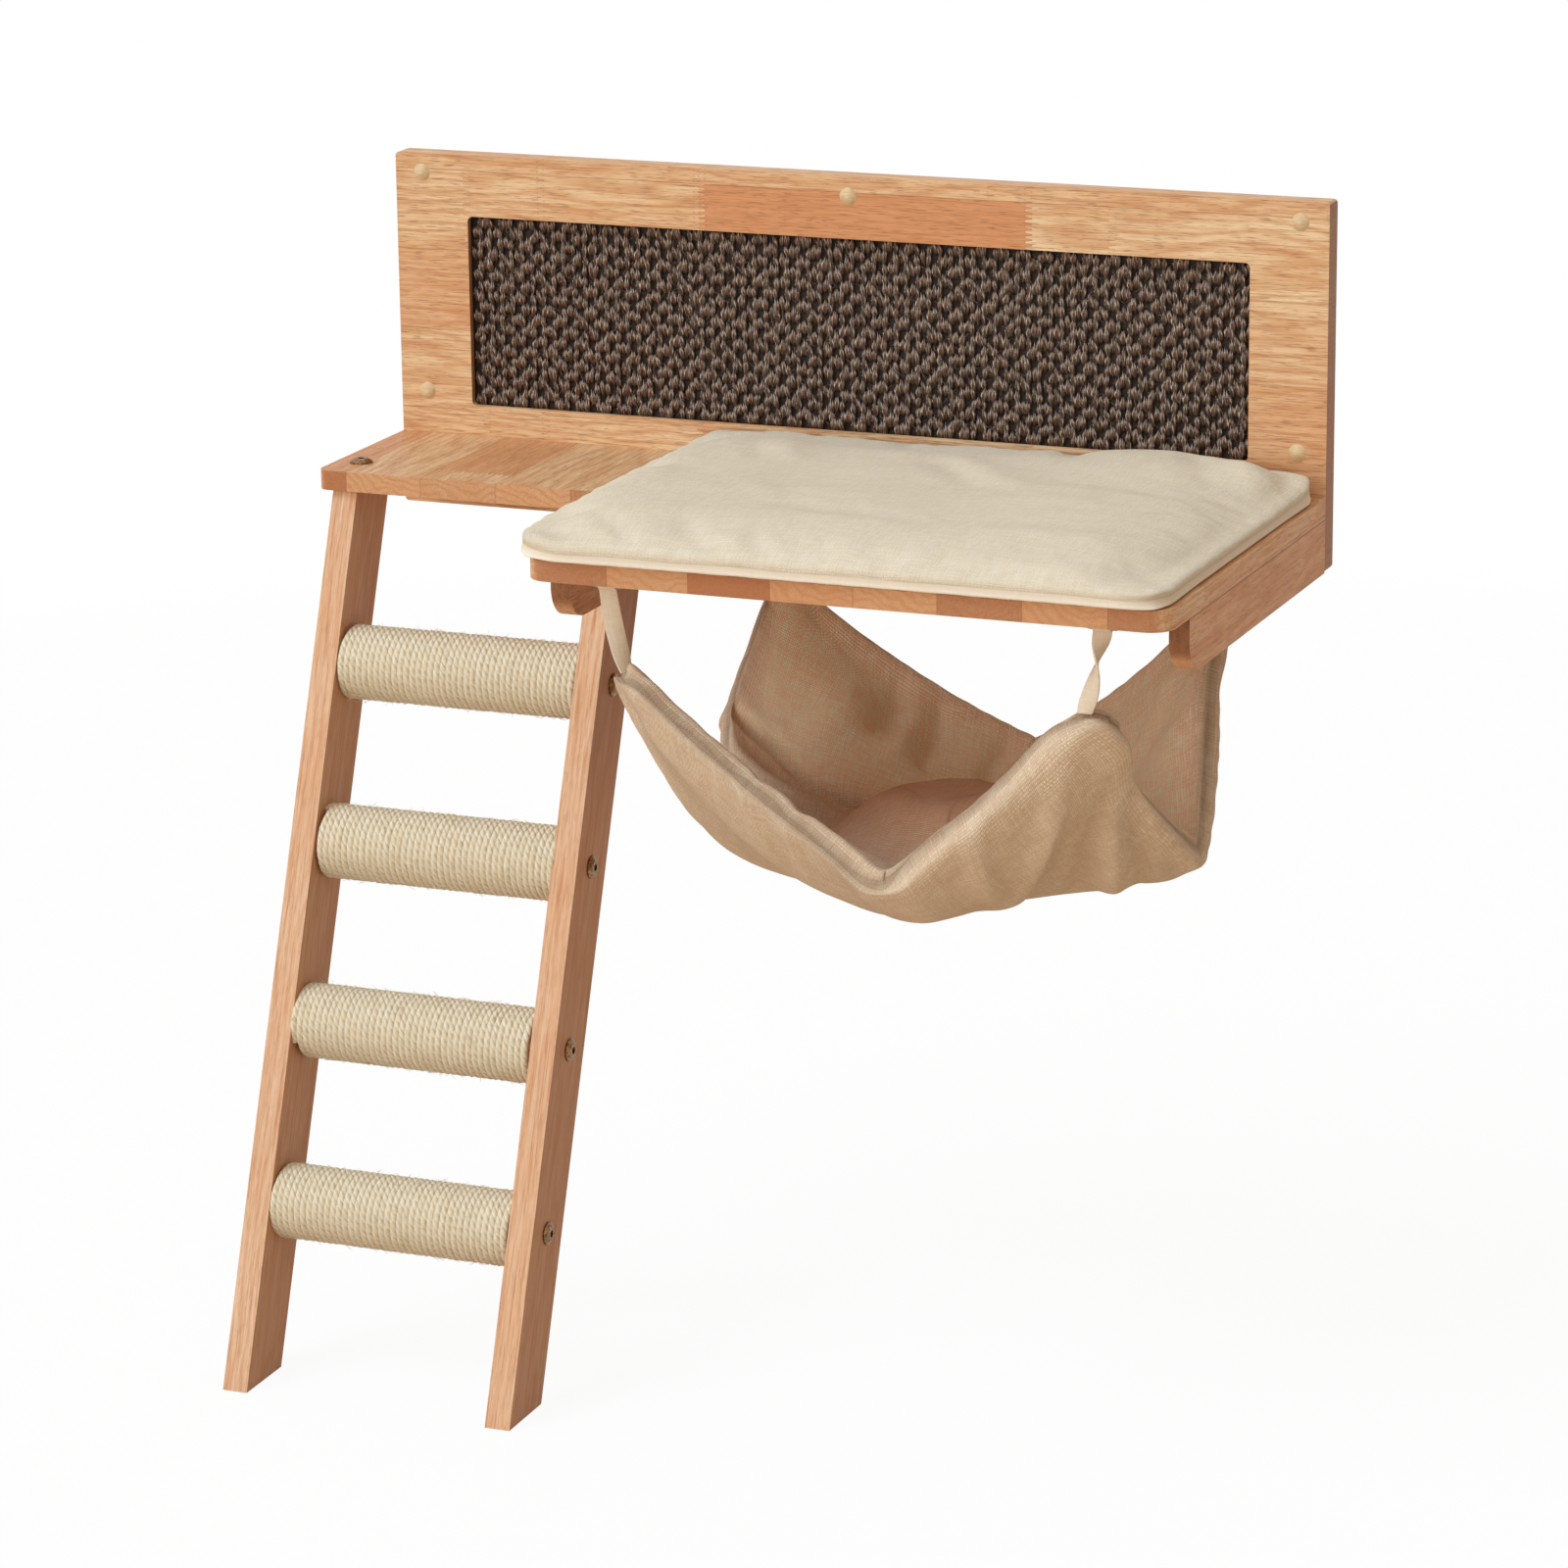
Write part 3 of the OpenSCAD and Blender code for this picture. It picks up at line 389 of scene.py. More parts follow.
def clothMaterial(name, look):
    # a plain weave that follows the cloth: its UV map is the flat cloth in metres
    material, g = newMaterial(name)
    flat = g.node("UVMap", uv_map="flat").outputs[0]
    point = g.scaled(flat, (1000 / look["yarn"], 1000 / look["yarn"], 0))
    sway = g.named("TexNoise", {
        "Vector": g.scaled(point, (0.03, 0.03, 0)), "Scale": 1.0, "Detail": 2.0},
        noise_dimensions="3D")
    shift = g.vector("SUBTRACT", sway.outputs["Color"], (0.5, 0.5, 0.5))
    point = g.vector("ADD", point, g.scaled(shift, (look["sway"], look["sway"], 0.0)))
    u, v = g.split(point)[:2]
    # thick and thin places of single yarns
    slubU = g.join(g.mul(g.math("FLOOR", u), 7.31), g.mul(v, 0.07), 0.0)
    slubV = g.join(g.mul(u, 0.07), g.mul(g.math("FLOOR", v), 7.31), 4.0)
    slubU, slubV = (g.cloud(spot, roughness=0.6) for spot in (slubU, slubV))
    sineU, sineV = (g.math("SINE", g.mul(way, halfTurn)) for way in (u, v))
    over = g.step(g.mul(sineU, sineV), -0.25, 0.25)        # 1 where the warp lies on top
    warp, weft = (g.mul(g.math("ABSOLUTE", sine), g.mulAdd(slub, 1.1, 0.2))
                  for sine, slub in ((sineU, slubU), (sineV, slubV)))
    height, slub = (g.add(g.mul(a, over), g.mul(b, g.sub(1.0, over)))
                    for a, b in ((warp, weft), (slubU, slubV)))
    fibre = g.cloud(g.join(g.mul(u, 2.2), g.mul(v, 2.2), 9.0))
    tone = g.mix(g.step(slub, 0.36, 0.62), look["dark"], look["light"])
    tone = g.layer(tone, look["bright"], g.step(slub, 0.56, 0.72), 0.6)
    if "shadedFloorTone" in look:
        # the hammock's floor is mixed towards a brown: painted shade
        tone = g.mix(g.mark("wearAndShade"), tone, look["shadedFloorTone"])
        # the hammock's inner walls are multiplied brighter: painted light
        tone = g.mix(g.mark("paintedLight"), tone, look["paintedLight"], "MULTIPLY")
        tone.node.clamp_result = True
    # darker where the yarns dip, between them: painted shade
    tone = g.layer(tone, look["gap"], g.step(height, 0.42, 0.05), look["gapStrength"])
    tone = g.layer(tone, look["gap"], g.step(fibre, 0.35, 0.75), 0.18)
    soft = g.cloud(g.scaled(flat, (14, 14, 0)), detail=3.0)
    tone = g.layer(tone, look["dark"], g.step(soft, 0.42, 0.75), 0.16)
    # a darker line along the rim seams: painted shade in the seam
    tone = g.layer(tone, look["seam"], g.mark("seam"), 0.5)
    finishMaterial(g, tone, height, look["relief"] * mm, {
        "Roughness": 0.9, "Specular IOR Level": 0.2, "Sheen Weight": 0.08,
        "Sheen Roughness": 0.45})
    return material


cushionLinen = clothMaterial("cushionLinen", {
    "yarn": 1.3, "sway": 2.5, "relief": 0.5, "gapStrength": 0.5,
    "light": linear(245, 236, 217), "dark": linear(232, 220, 196), "gap": linear(200, 184, 154),
    "bright": linear(252, 247, 234), "seam": linear(196, 180, 152),
})
bandCotton = clothMaterial("bandCotton", {
    "yarn": 0.55, "sway": 3.0, "relief": 0.08, "gapStrength": 0.15,
    "light": linear(244, 235, 220), "dark": linear(238, 227, 210), "gap": linear(215, 201, 178),
    "bright": linear(247, 240, 228), "seam": linear(206, 188, 160),
})
hammockLinen = clothMaterial("hammockLinen", {
    "yarn": 1.3, "sway": 2.5, "relief": 0.6, "gapStrength": 0.6,
    "light": linear(240, 220, 194), "dark": linear(222, 196, 167), "gap": linear(166, 135, 104),
    # the brown at the end of the next line is painted shade on the hammock's floor
    "bright": linear(253, 242, 223), "seam": linear(110, 82, 60), "shadedFloorTone": linear(214, 113, 36),
    # this factor brightens the hammock's inner walls: painted light
    "paintedLight": (1.42, 1.25, 1.16, 1),
})
tapeCotton = clothMaterial("tapeCotton", {
    "yarn": 0.7, "sway": 0.3, "relief": 0.12, "gapStrength": 0.25,
    "light": linear(238, 226, 206), "dark": linear(229, 215, 192), "gap": linear(203, 186, 159),
    "bright": linear(244, 235, 220), "seam": linear(205, 190, 165),
})


def hardMaterial(name, dark, light, wearScale, roughness, metallic):
    material, g = newMaterial(name)
    point = g.millimetres()
    wearAndShade = g.cloud(point, scale=wearScale, detail=4.0, roughness=0.65)
    tone = g.mix(g.step(wearAndShade, 0.35, 0.7), linear(*dark), linear(*light))
    finishMaterial(g, tone, g.cloud(point, scale=2.4, detail=3.0), 0.00003, {
        "Roughness": g.mulAdd(wearAndShade, 0.25, roughness), "Metallic": metallic})
    return material


bronze = hardMaterial("bronze", (104, 74, 50), (176, 136, 94), 0.5, 0.26, 0.9)
zinc = hardMaterial("zinc", (158, 158, 154), (200, 199, 193), 0.35, 0.28, 1.0)
brassMetal = hardMaterial("brassMetal", (176, 136, 66), (212, 176, 98), 0.3, 0.24, 1.0)

capPlastic, g = newMaterial("capPlastic")           # caps moulded in a wood colour
point = g.millimetres()
tone = g.mix(g.step(g.cloud(g.scaled(point, (0.10, 0.5, 0.7)), detail=4.0), 0.35, 0.7),
             linear(215, 188, 148), linear(202, 172, 130))
finishMaterial(g, tone, g.cloud(point, scale=1.6, detail=3.0), 0.00003, {
    "Roughness": 0.42, "Specular IOR Level": 0.4})


def fibreMaterial(name, look):
    # sisal: stiff fibres along the yarn, read from its attributes "yarn" (metres or share along,
    # cosine and sine round it) and "tint"
    material, g = newMaterial(name)
    along, cosine, sine = g.split(g.mark("yarn", "Vector"))
    tint = g.mark("tint")
    around = g.math("DIVIDE", g.math("ARCTAN2", sine, cosine), fullTurn)
    twisted = g.mulAdd(along, look["twist"], around)
    angle = g.mul(twisted, fullTurn)
    strand = g.math("PINGPONG", g.mul(twisted, look["strands"]), 0.5)
    strand = g.math("POWER", g.mul(strand, 2.0), 0.5)
    far = g.mul(tint, 40.0)
    hairs = g.cloud(g.join(g.mulAdd(g.math("COSINE", angle), look["hairAcross"], far),
                           g.mul(g.math("SINE", angle), look["hairAcross"]),
                           g.mul(along, look["hairLong"])), detail=4.0, roughness=0.7)
    patch = g.cloud(g.join(g.mul(along, look["hairLong"] / 7), far, 0.0))
    spread = g.add(patch, g.mulAdd(tint, 0.5, -0.25))
    tone = g.mix(g.step(hairs, 0.30, 0.72), look["dark"], look["light"])
    tone = g.layer(tone, look["other"], g.step(spread, 0.40, 0.75), look["patch"])
    # darker in the grooves between the strands: painted shade
    tone = g.layer(tone, look["gap"], g.step(strand, 0.5, 0.0), look["gapStrength"])
    if "tip" in look:                   # yarn that darkens towards its root
        shade = g.mark("shade")
        # towards the root is painted shade and towards the tip painted light, the cores are painted
        # shade, and each fibre's random value gives some fibres the pale or the dark colour as
        # their own tone
        for color, where, share in (
                ("gap", g.step(along, 0.55, 0.05), 0.75), ("tip", g.step(shade, 0.50, 1.0), 0.8),
                ("gap", g.step(shade, 0.60, 0.10), 0.85), ("tip", g.step(along, 0.70, 1.0), 0.6)):
            tone = g.layer(tone, look[color], where, share)
    height = g.add(g.mul(hairs, 0.8), g.mul(strand, look["strandRelief"]))
    finishMaterial(g, tone, height, look["relief"] * mm, {
        "Roughness": look["roughness"], "Specular IOR Level": look["shine"]})
    return material


ropeSisal = fibreMaterial("ropeSisal", {
    "twist": 58.0, "strands": 3.0, "hairLong": 230.0, "hairAcross": 2.6, "strandRelief": 1.0,
    "relief": 1.2, "roughness": 0.6, "shine": 0.35, "patch": 0.7, "gapStrength": 0.50,
    "light": linear(251, 244, 224), "dark": linear(228, 213, 182), "other": linear(238, 222, 187),
    "gap": linear(190, 166, 127),
})
looseFibre = {
    "twist": 0.0, "strands": 1.0, "hairAcross": 1.0, "strandRelief": 0.0, "roughness": 0.45,
    "shine": 0.5, "gapStrength": 0.0,
}
hairSisal = fibreMaterial("hairSisal", {
    **looseFibre, "hairLong": 4.0, "relief": 0.02, "patch": 0.8,
    "light": linear(250, 243, 222), "dark": linear(226, 210, 176), "other": linear(214, 190, 146),
    "gap": linear(182, 158, 118),
})
matSisal = fibreMaterial("matSisal", {
    "twist": 0.0, "strands": 3.0, "hairLong": 1.6, "hairAcross": 3.4, "strandRelief": 0.35,
    "relief": 0.5, "roughness": 0.55, "shine": 0.4, "patch": 0.55, "gapStrength": 0.0,
    "light": linear(220, 184, 160), "dark": linear(152, 121, 102), "other": linear(180, 130, 102),
    # the dark colour is painted shade at the roots and cores and the pale one painted light at the
    # tips; both also tint some fibres at random
    "gap": linear(68, 51, 41), "tip": linear(255, 240, 224),
})
straySisal = fibreMaterial("straySisal", {
    **looseFibre, "hairLong": 3.0, "relief": 0.05, "patch": 0.7,
    "light": linear(200, 176, 158), "dark": linear(120, 94, 78), "other": linear(164, 116, 86),
    "gap": linear(40, 29, 23),
})
# the mat's ground is near black: painted shade, the dark deep between the loops
matGround, g = newMaterial("matGround")
cloud = g.cloud(g.scaled(g.millimetres(), (1.4, 1.4, 0.4)), detail=3.0)
finishMaterial(g, g.mix(cloud, linear(28, 20, 16), linear(62, 46, 37)), cloud, 0.0004, {
    "Roughness": 0.9})
print("finishes made")


# helpers for pieces

def newPiece(name, mesh, *materials):
    piece = bpy.data.objects.new(name, mesh)
    scene.collection.objects.link(piece)
    for material in materials:
        mesh.materials.append(material)
    return piece


def smoothShade(mesh):
    mesh.polygons.foreach_set("use_smooth", [True] * len(mesh.polygons))
    mesh.update()


def changed(mesh, change):
    work = bmesh.new()
    work.from_mesh(mesh)
    change(work)
    work.to_mesh(mesh)
    work.free()


def markPoints(mesh, marks):        # values at its points, for the materials
    for mark, values in marks.items():
        mesh.attributes.new(mark, "FLOAT", "POINT").data.foreach_set("value", values)


def pointsOf(mesh):
    points = np.empty(len(mesh.vertices) * 3)
    mesh.vertices.foreach_get("co", points)
    return points


def solidMesh(name, points, faces, yarn=(), **marks):
    # a closed mesh with its normals outward
    mesh = bpy.data.meshes.new(name)
    mesh.from_pydata(points, [], faces)
    if yarn:
        layer = mesh.attributes.new("yarn", "FLOAT_VECTOR", "POINT")
        layer.data.foreach_set("vector", yarn)
    markPoints(mesh, marks)
    changed(mesh, lambda work: bmesh.ops.recalc_face_normals(work, faces=work.faces))
    return mesh


def baked(piece):
    # the modifiers' result as a plain mesh
    bpy.context.view_layer.update()
    graph = bpy.context.evaluated_depsgraph_get()
    mesh = bpy.data.meshes.new_from_object(
        piece.evaluated_get(graph), preserve_all_data_layers=True, depsgraph=graph)
    piece.modifiers.clear()
    piece.data = mesh
    return piece


# wooden boards, with their edges eased

boards = {"easing": 0.0012, "segments": 3, "flatWithin": math.radians(1),
          "sharpFrom": math.radians(50)}


def wholeFaces(work):
    bmesh.ops.remove_doubles(work, verts=work.verts, dist=1e-6)
    bmesh.ops.dissolve_limit(work, angle_limit=boards["flatWithin"], verts=work.verts,
                             edges=work.edges)


def easedBoard(node, material):
    mesh = nodes[node].data.copy()
    mesh.materials.clear()
    changed(mesh, wholeFaces)
    if mesh.has_custom_normals:
        mesh.attributes.remove(mesh.attributes["custom_normal"])
    smoothShade(mesh)
    piece = newPiece(node + "_wood", mesh, material)
    ease = piece.modifiers.new("ease", "BEVEL")
    ease.width = boards["easing"]
    ease.segments = boards["segments"]
    ease.limit_method = "ANGLE"
    ease.angle_limit = boards["sharpFrom"]
    ease.harden_normals = True
    baked(piece)
    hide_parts(node)
    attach(piece, "base")


for node, material in {
        "back_panel": panelWood, "shelf_board": shelfWood, "bracket_left": bracketWood,
        "bracket_right": bracketWood, "rail_left": railWood, "rail_right": railWood}.items():
    easedBoard(node, material)
for node, material in {
        "mat_backing": backWood, "bracket_dowels": coreWood, "rung_core_1": coreWood,
        "rung_core_2": coreWood, "rung_core_3": coreWood, "rung_core_4": coreWood,
        "screw_caps": capPlastic, "backing_screws": zinc, "shelf_screws": zinc,
        "bracket_screws": zinc, "strap_staples": zinc, "rung_inserts": brassMetal,
        "rail_inserts": brassMetal, "ladder_bolts": bronze, "rung_bolts_left": bronze,
        "rung_bolts_right": bronze}.items():
    slots = nodes[node].data.materials
    if not len(slots):
        slots.append(material)
    for i in range(len(slots)):
        slots[i] = material
print("boards made")


# Geometry Nodes

class Flow(Graph):                  # the same, for a geometry tree with named inputs
    prefix = "GeometryNode"

    def __init__(self, name):
        tree = bpy.data.node_groups.new(name, "GeometryNodeTree")
        super().__init__(tree)
        for way in ("INPUT", "OUTPUT"):
            tree.interface.new_socket("Geometry", in_out=way, socket_type="NodeSocketGeometry")
        self.inside = tree.nodes.new("NodeGroupInput")

    def size(self, name, value, kind="NodeSocketFloat"):
        made = self.tree.interface.new_socket(name, in_out="INPUT", socket_type=kind)
        made.default_value = value
        return self.inside.outputs[name]

    def position(self):
        return self.node("InputPosition").outputs[0]

    def caught(self, geometry, value, kind):
        made = self.node("CaptureAttribute")
        made.capture_items.new(kind, "value")
        self.put(made.inputs[0], geometry)
        self.put(made.inputs[1], value)
        return made.outputs[0], made.outputs[1]

    def random(self, kind, low, high, seed=0):
        made = self.node("FunctionNodeRandomValue", data_type=kind)
        k = ("FLOAT_VECTOR", "FLOAT", "INT").index(kind)
        self.put(made.inputs[2 * k], low)
        self.put(made.inputs[2 * k + 1], high)
        self.put(made.inputs["Seed"], seed)
        return made.outputs[k]

    def storeOn(self, geometry, name, value, kind="FLOAT_VECTOR", domain="POINT"):
        return self.named("StoreNamedAttribute", {
            "Geometry": geometry, "Name": name, "Value": value}, data_type=kind, domain=domain)

    def merged(self, parts):
        made = self.node("JoinGeometry")
        for part in parts:
            self.put(made.inputs[0], part)
        return made

    def dressed(self, geometry, material):
        return self.named("SetMaterial", {"Geometry": geometry, "Material": material})

    def end(self, geometry, material=None):
        out = self.node("RealizeInstances", geometry)
        if material:
            out = self.dressed(out, material)
        self.put(self.tree.nodes.new("NodeGroupOutput").inputs[0], out)
        return self

    def run(self, piece, **sizes):
        modifier = piece.modifiers.new(self.tree.name, "NODES")
        modifier.node_group = self.tree
        for item in self.tree.interface.items_tree:
            if item.in_out == "INPUT" and item.name in sizes:
                modifier[item.identifier] = sizes[item.name]
        return baked(piece)


# rope wound on the rungs

rope = {
    "turns": 39.0, "thickness": 0.0061, "pathRadius": 0.02575, "length": 0.1952, "steps": 44,
    "sides": 8, "wander": 0.0009, "wanderScale": 110.0, "hairs": 1500, "surface": 0.09,
    "hairRadius": 0.00012, "hairLengths": (0.4, 1.5),
}


def ropeFlow():
    f = Flow("ropeWinding")
    turns, radius, length, thick, wander, strays = (f.size(name, rope[name]) for name in (
        "turns", "pathRadius", "length", "thickness", "wander", "hairs"))
    start = f.size("start", 0.0)
    spiral = f.named("CurveSpiral", {
        "Resolution": rope["steps"], "Rotations": turns, "Start Radius": radius,
        "End Radius": radius, "Height": length})
    here = f.vector("ADD", f.position(), f.join(start, 0.0, 0.0))
    drift = f.named("ShaderNodeTexNoise", {"Vector": here, "Scale": rope["wanderScale"]})
    drift = f.vector("SUBTRACT", drift.outputs["Color"], (0.5, 0.5, 0.5))
    laid = f.named("SetPosition", {
        "Geometry": spiral, "Offset": f.scaled(drift, f.join(wander, wander, wander))})
    path, along = f.caught(
        laid, f.node("SplineParameter").outputs["Length"], "FLOAT")
    half = f.mul(thick, 0.5)
    ring = f.named("CurvePrimitiveCircle", {
        "Resolution": rope["sides"], "Radius": half})
    profile, around = f.caught(
        ring, f.vector("DIVIDE", f.position(), f.join(half, half, half)), "VECTOR")
    tube = f.named("CurveToMesh", {
        "Curve": path, "Profile Curve": profile, "Fill Caps": True})
    sides = f.split(around)
    yarn = f.storeOn(tube, "yarn", f.join(along, sides[0], sides[1]))
    smooth = f.node("SetShadeSmooth", f.storeOn(yarn, "tint", 0.35, "FLOAT"))
    # stray fibres that stand off the rope
    picked = f.named("DistributePointsOnFaces", {
        "Mesh": tube, "Density": f.math("DIVIDE", strays, rope["surface"]), "Seed": 5}).outputs
    hair = f.named("CurveQuadraticBezier", {
        "Resolution": 4, "Start": (0, -0.003, -0.0006), "Middle": (0.0004, 0.0, 0.0011),
        "End": (0.0, 0.0040, 0.0004)})
    hairTube = f.named("CurveToMesh", {
        "Curve": hair, "Profile Curve": f.named("CurvePrimitiveCircle", {
            "Resolution": 3, "Radius": rope["hairRadius"]})})
    put = f.named("InstanceOnPoints", {
        "Points": picked["Points"], "Instance": hairTube, "Rotation": picked["Rotation"],
        "Scale": f.random("FLOAT", *rope["hairLengths"])})
    turned = f.named("RotateInstances", {
        "Instances": put, "Rotation": f.random(
            "FLOAT_VECTOR", (-0.30, -0.2, -3.1416), (0.30, 0.2, 3.1416), 7)})
    hairs = f.storeOn(turned, "tint", f.random("FLOAT", 0.0, 1.0, 4), "FLOAT", "INSTANCE")
    hairs = f.storeOn(hairs, "yarn", (0.1, 1.0, 0.0), domain="INSTANCE")
    loose = f.node("RealizeInstances", hairs)
    both = f.merged([f.dressed(smooth, ropeSisal), f.dressed(loose, hairSisal)])
    spun = f.named("Transform", {
        "Geometry": both, "Rotation": f.join(0.0, 0.0, start)})
    return f.end(f.named("Transform", {
        "Geometry": spun, "Rotation": (0.0, math.pi / 2, 0.0),
        "Translation": f.size("place", (0.0, 0.0, 0.0), "NodeSocketVector")}))


ropeTree = ropeFlow()
for i in (1, 2, 3, 4):
    low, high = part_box(f"rung_rope_{i}")
    middle = (low + high) / 2
    piece = newPiece(f"rope_{i}", bpy.data.meshes.new(f"rope_{i}"))
    ropeTree.run(piece, place=(middle.x - rope["length"] / 2, middle.y, middle.z), start=1.7 * i)
    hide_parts(f"rung_rope_{i}")
    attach(piece, "base")
print("rope wound,", len(piece.data.polygons), "faces a rung")


# the woven mat in the window

weave = {
    "x0": 57.0, "x1": 693.0, "z0": 76.5, "z1": 231.0, "front": -14.2, "ground": -11.4,
    "back": -8.2, "pitchX": 17.6, "pitchZ": 8.3, "group": ((-3.9, -1.2), (0.2, 0.9), (4.1, -0.6)),
    "wide": 4.7, "tall": 14.0, "deep": 3.0, "sides": 5, "rings": 4, "fibres": 9, "fibre": 0.44,
    "tilt": 0.16, "kinds": 4, "strays": 1500, "stray": 0.13, "lip": 1.4, "wave": 0.5,
}
third = 2.094                       # a third of a turn


def loopMesh(name, seed):
    # one tuft of the yarn: a core, painted dark with shade, under stiff fibres that stand out to
    # points above
    dice = random.Random(seed)
    tall, wide, deep = weave["tall"], weave["wide"], weave["deep"]
    n, m = weave["sides"], weave["rings"]
    points, faces, yarn, shades = [], [], [], []

    def add(x, y, z, along, angle, shade):
        points.append((x * mm, y * mm, z * mm))
        yarn.extend((along, math.cos(angle), math.sin(angle)))
        shades.append(shade)

    add(0, 0, tall * 0.42, 0.8, 0, 0.0)
    for k in range(1, m):
        f = k / m
        full = math.sin(math.pi * f ** 0.85) ** 0.5
        for j in range(n):
            a = 2 * math.pi * j / n
            add(wide / 2 * full * math.cos(a),
                -deep / 2 * full * math.sin(a) - 0.9 * math.sin(math.pi * f),
                tall * (0.42 - 0.9 * f), 0.85 * (1 - f), a, 0.1)
    last = len(points)
    add(0, 0, -tall / 2, 0.0, 0, 0.0)
    for j in range(n):
        b = (j + 1) % n
        faces.append((0, 1 + b, 1 + j))
        for k in range(m - 2):
            faces.append((1 + k * n + j, 1 + k * n + b, 1 + (k + 1) * n + b, 1 + (k + 1) * n + j))
        faces.append((last, 1 + (m - 2) * n + j, 1 + (m - 2) * n + b))
    for k in range(weave["fibres"]):
        across = (k + 0.5) / weave["fibres"] * 2 - 1 + dice.uniform(-0.06, 0.06)
        swell = math.sqrt(max(0.0, 1 - across ** 2)) * deep / 2
        out = dice.uniform(0.2, 1.1)
        low = dice.uniform(-0.46, -0.10) * tall
        top = (0.5 - 0.20 * abs(across) + dice.uniform(-0.16, 0.12)) * tall
        x = across * wide * 0.5
        tip = x * 0.6 + dice.uniform(-0.7, 0.7)
        first, shade, thick = len(points), dice.random(), weave["fibre"] * dice.uniform(0.75, 1.25)
        add(x * 0.9, -0.3 - swell * 0.8, low, 0.25, 0, shade)
        for j in range(3):
            a = third * j + 0.5 + k
            add(x * 1.06 + thick * math.cos(a), -0.9 - swell - out * 0.5 + thick * math.sin(a),
                low * 0.4 + top * 0.6, 0.72, a, shade)
        add(tip, -0.5 - swell * 0.7 - out, top, 1.0, 0, shade)
        for j in range(3):
            b = (j + 1) % 3
            faces += [(first, first + 1 + b, first + 1 + j),
                      (first + 4, first + 1 + j, first + 1 + b)]
    mesh = solidMesh(name, points, faces, yarn, shade=shades)
    smoothShade(mesh)
    return mesh


def matFlow(sources):
    f = Flow("wovenMat")
    tilt = f.size("tilt", weave["tilt"])
    several = f.merged([
        f.node("GeometryToInstance", f.named(
            "ObjectInfo", {"Object": source}).outputs["Geometry"])
        for source in sources])
    put = f.named("InstanceOnPoints", {
        "Points": f.inside.outputs[0], "Instance": several, "Pick Instance": True,
        "Instance Index": f.random("INT", 0, len(sources) - 1, 12),
        "Rotation": f.random("FLOAT_VECTOR", f.join(-0.12, f.mul(tilt, -1.0), -0.3),
                             f.join(0.20, tilt, 0.3), 3),
        "Scale": f.random("FLOAT_VECTOR", (0.80, 0.8, 0.84), (1.12, 1.2, 1.14), 9)})
    tint = f.random("FLOAT", 0.0, 1.0, 21)
    return f.end(f.storeOn(put, "tint", tint, "FLOAT", "INSTANCE"), matSisal)


loops = [bpy.data.objects.new(f"matLoop{k}", loopMesh(f"matLoop{k}", 60 + k))
         for k in range(weave["kinds"])]
dice = random.Random(17)
spots, row = [], 0
z = weave["z0"] + 5
while z < weave["z1"] - 4:
    x = weave["x0"] + 6 + (row % 2) * weave["pitchX"] / 2
    while x < weave["x1"] - 5:
        for offX, offZ in weave["group"]:
            at, up = x + offX + dice.uniform(-0.5, 0.5), z + offZ + dice.uniform(-0.9, 0.9)
            if weave["x0"] + 3 < at < weave["x1"] - 3:
                up = min(max(up, weave["z0"] + 6.5), weave["z1"] - 6.5)
                spots.append(place(at, weave["front"] + 1.9 + dice.uniform(-0.5, 0.4), up))
        x += weave["pitchX"]
    z += weave["pitchZ"]
    row += 1
spotMesh = bpy.data.meshes.new("matSpots")
spotMesh.from_pydata(spots, [], [])
matLoops = newPiece("mat_loops", spotMesh)
matFlow(loops).run(matLoops, tilt=weave["tilt"])
smoothShade(matLoops.data)


def straysMesh():
    # loose fibres that cross the loops
    points, faces, yarn, tints = [], [], [], []
    for n in range(weave["strays"]):
        x = dice.uniform(weave["x0"] + 6, weave["x1"] - 6)
        z = dice.uniform(weave["z0"] + 6, weave["z1"] - 6)
        long, turn, bow = dice.uniform(3, 10), dice.uniform(-1.5, 1.5), dice.uniform(-2, 2)
        tint, first = dice.random(), len(points)
        for k in range(4):
            f = k / 3
            along, side = (f - 0.5) * long, bow * math.sin(math.pi * f)
            px = x + math.sin(turn) * along + math.cos(turn) * side
            pz = z + math.cos(turn) * along - math.sin(turn) * side
            py = weave["front"] - 1.3 * math.sin(math.pi * f) - dice.uniform(0, 0.3)
            for a in range(3):
                angle = third * a
                points.append(place(px + weave["stray"] * math.cos(angle),
                                    py + weave["stray"] * math.sin(angle), pz))
                yarn += [f, math.cos(angle), math.sin(angle)]
                tints.append(tint)
        for p in (first, first + 3, first + 6):
            faces += [(p + a, p + (a + 1) % 3, p + 3 + (a + 1) % 3, p + 3 + a) for a in range(3)]
        faces += [(first, first + 2, first + 1), (first + 9, first + 10, first + 11)]
    return solidMesh("matStrays", points, faces, yarn, tint=tints)


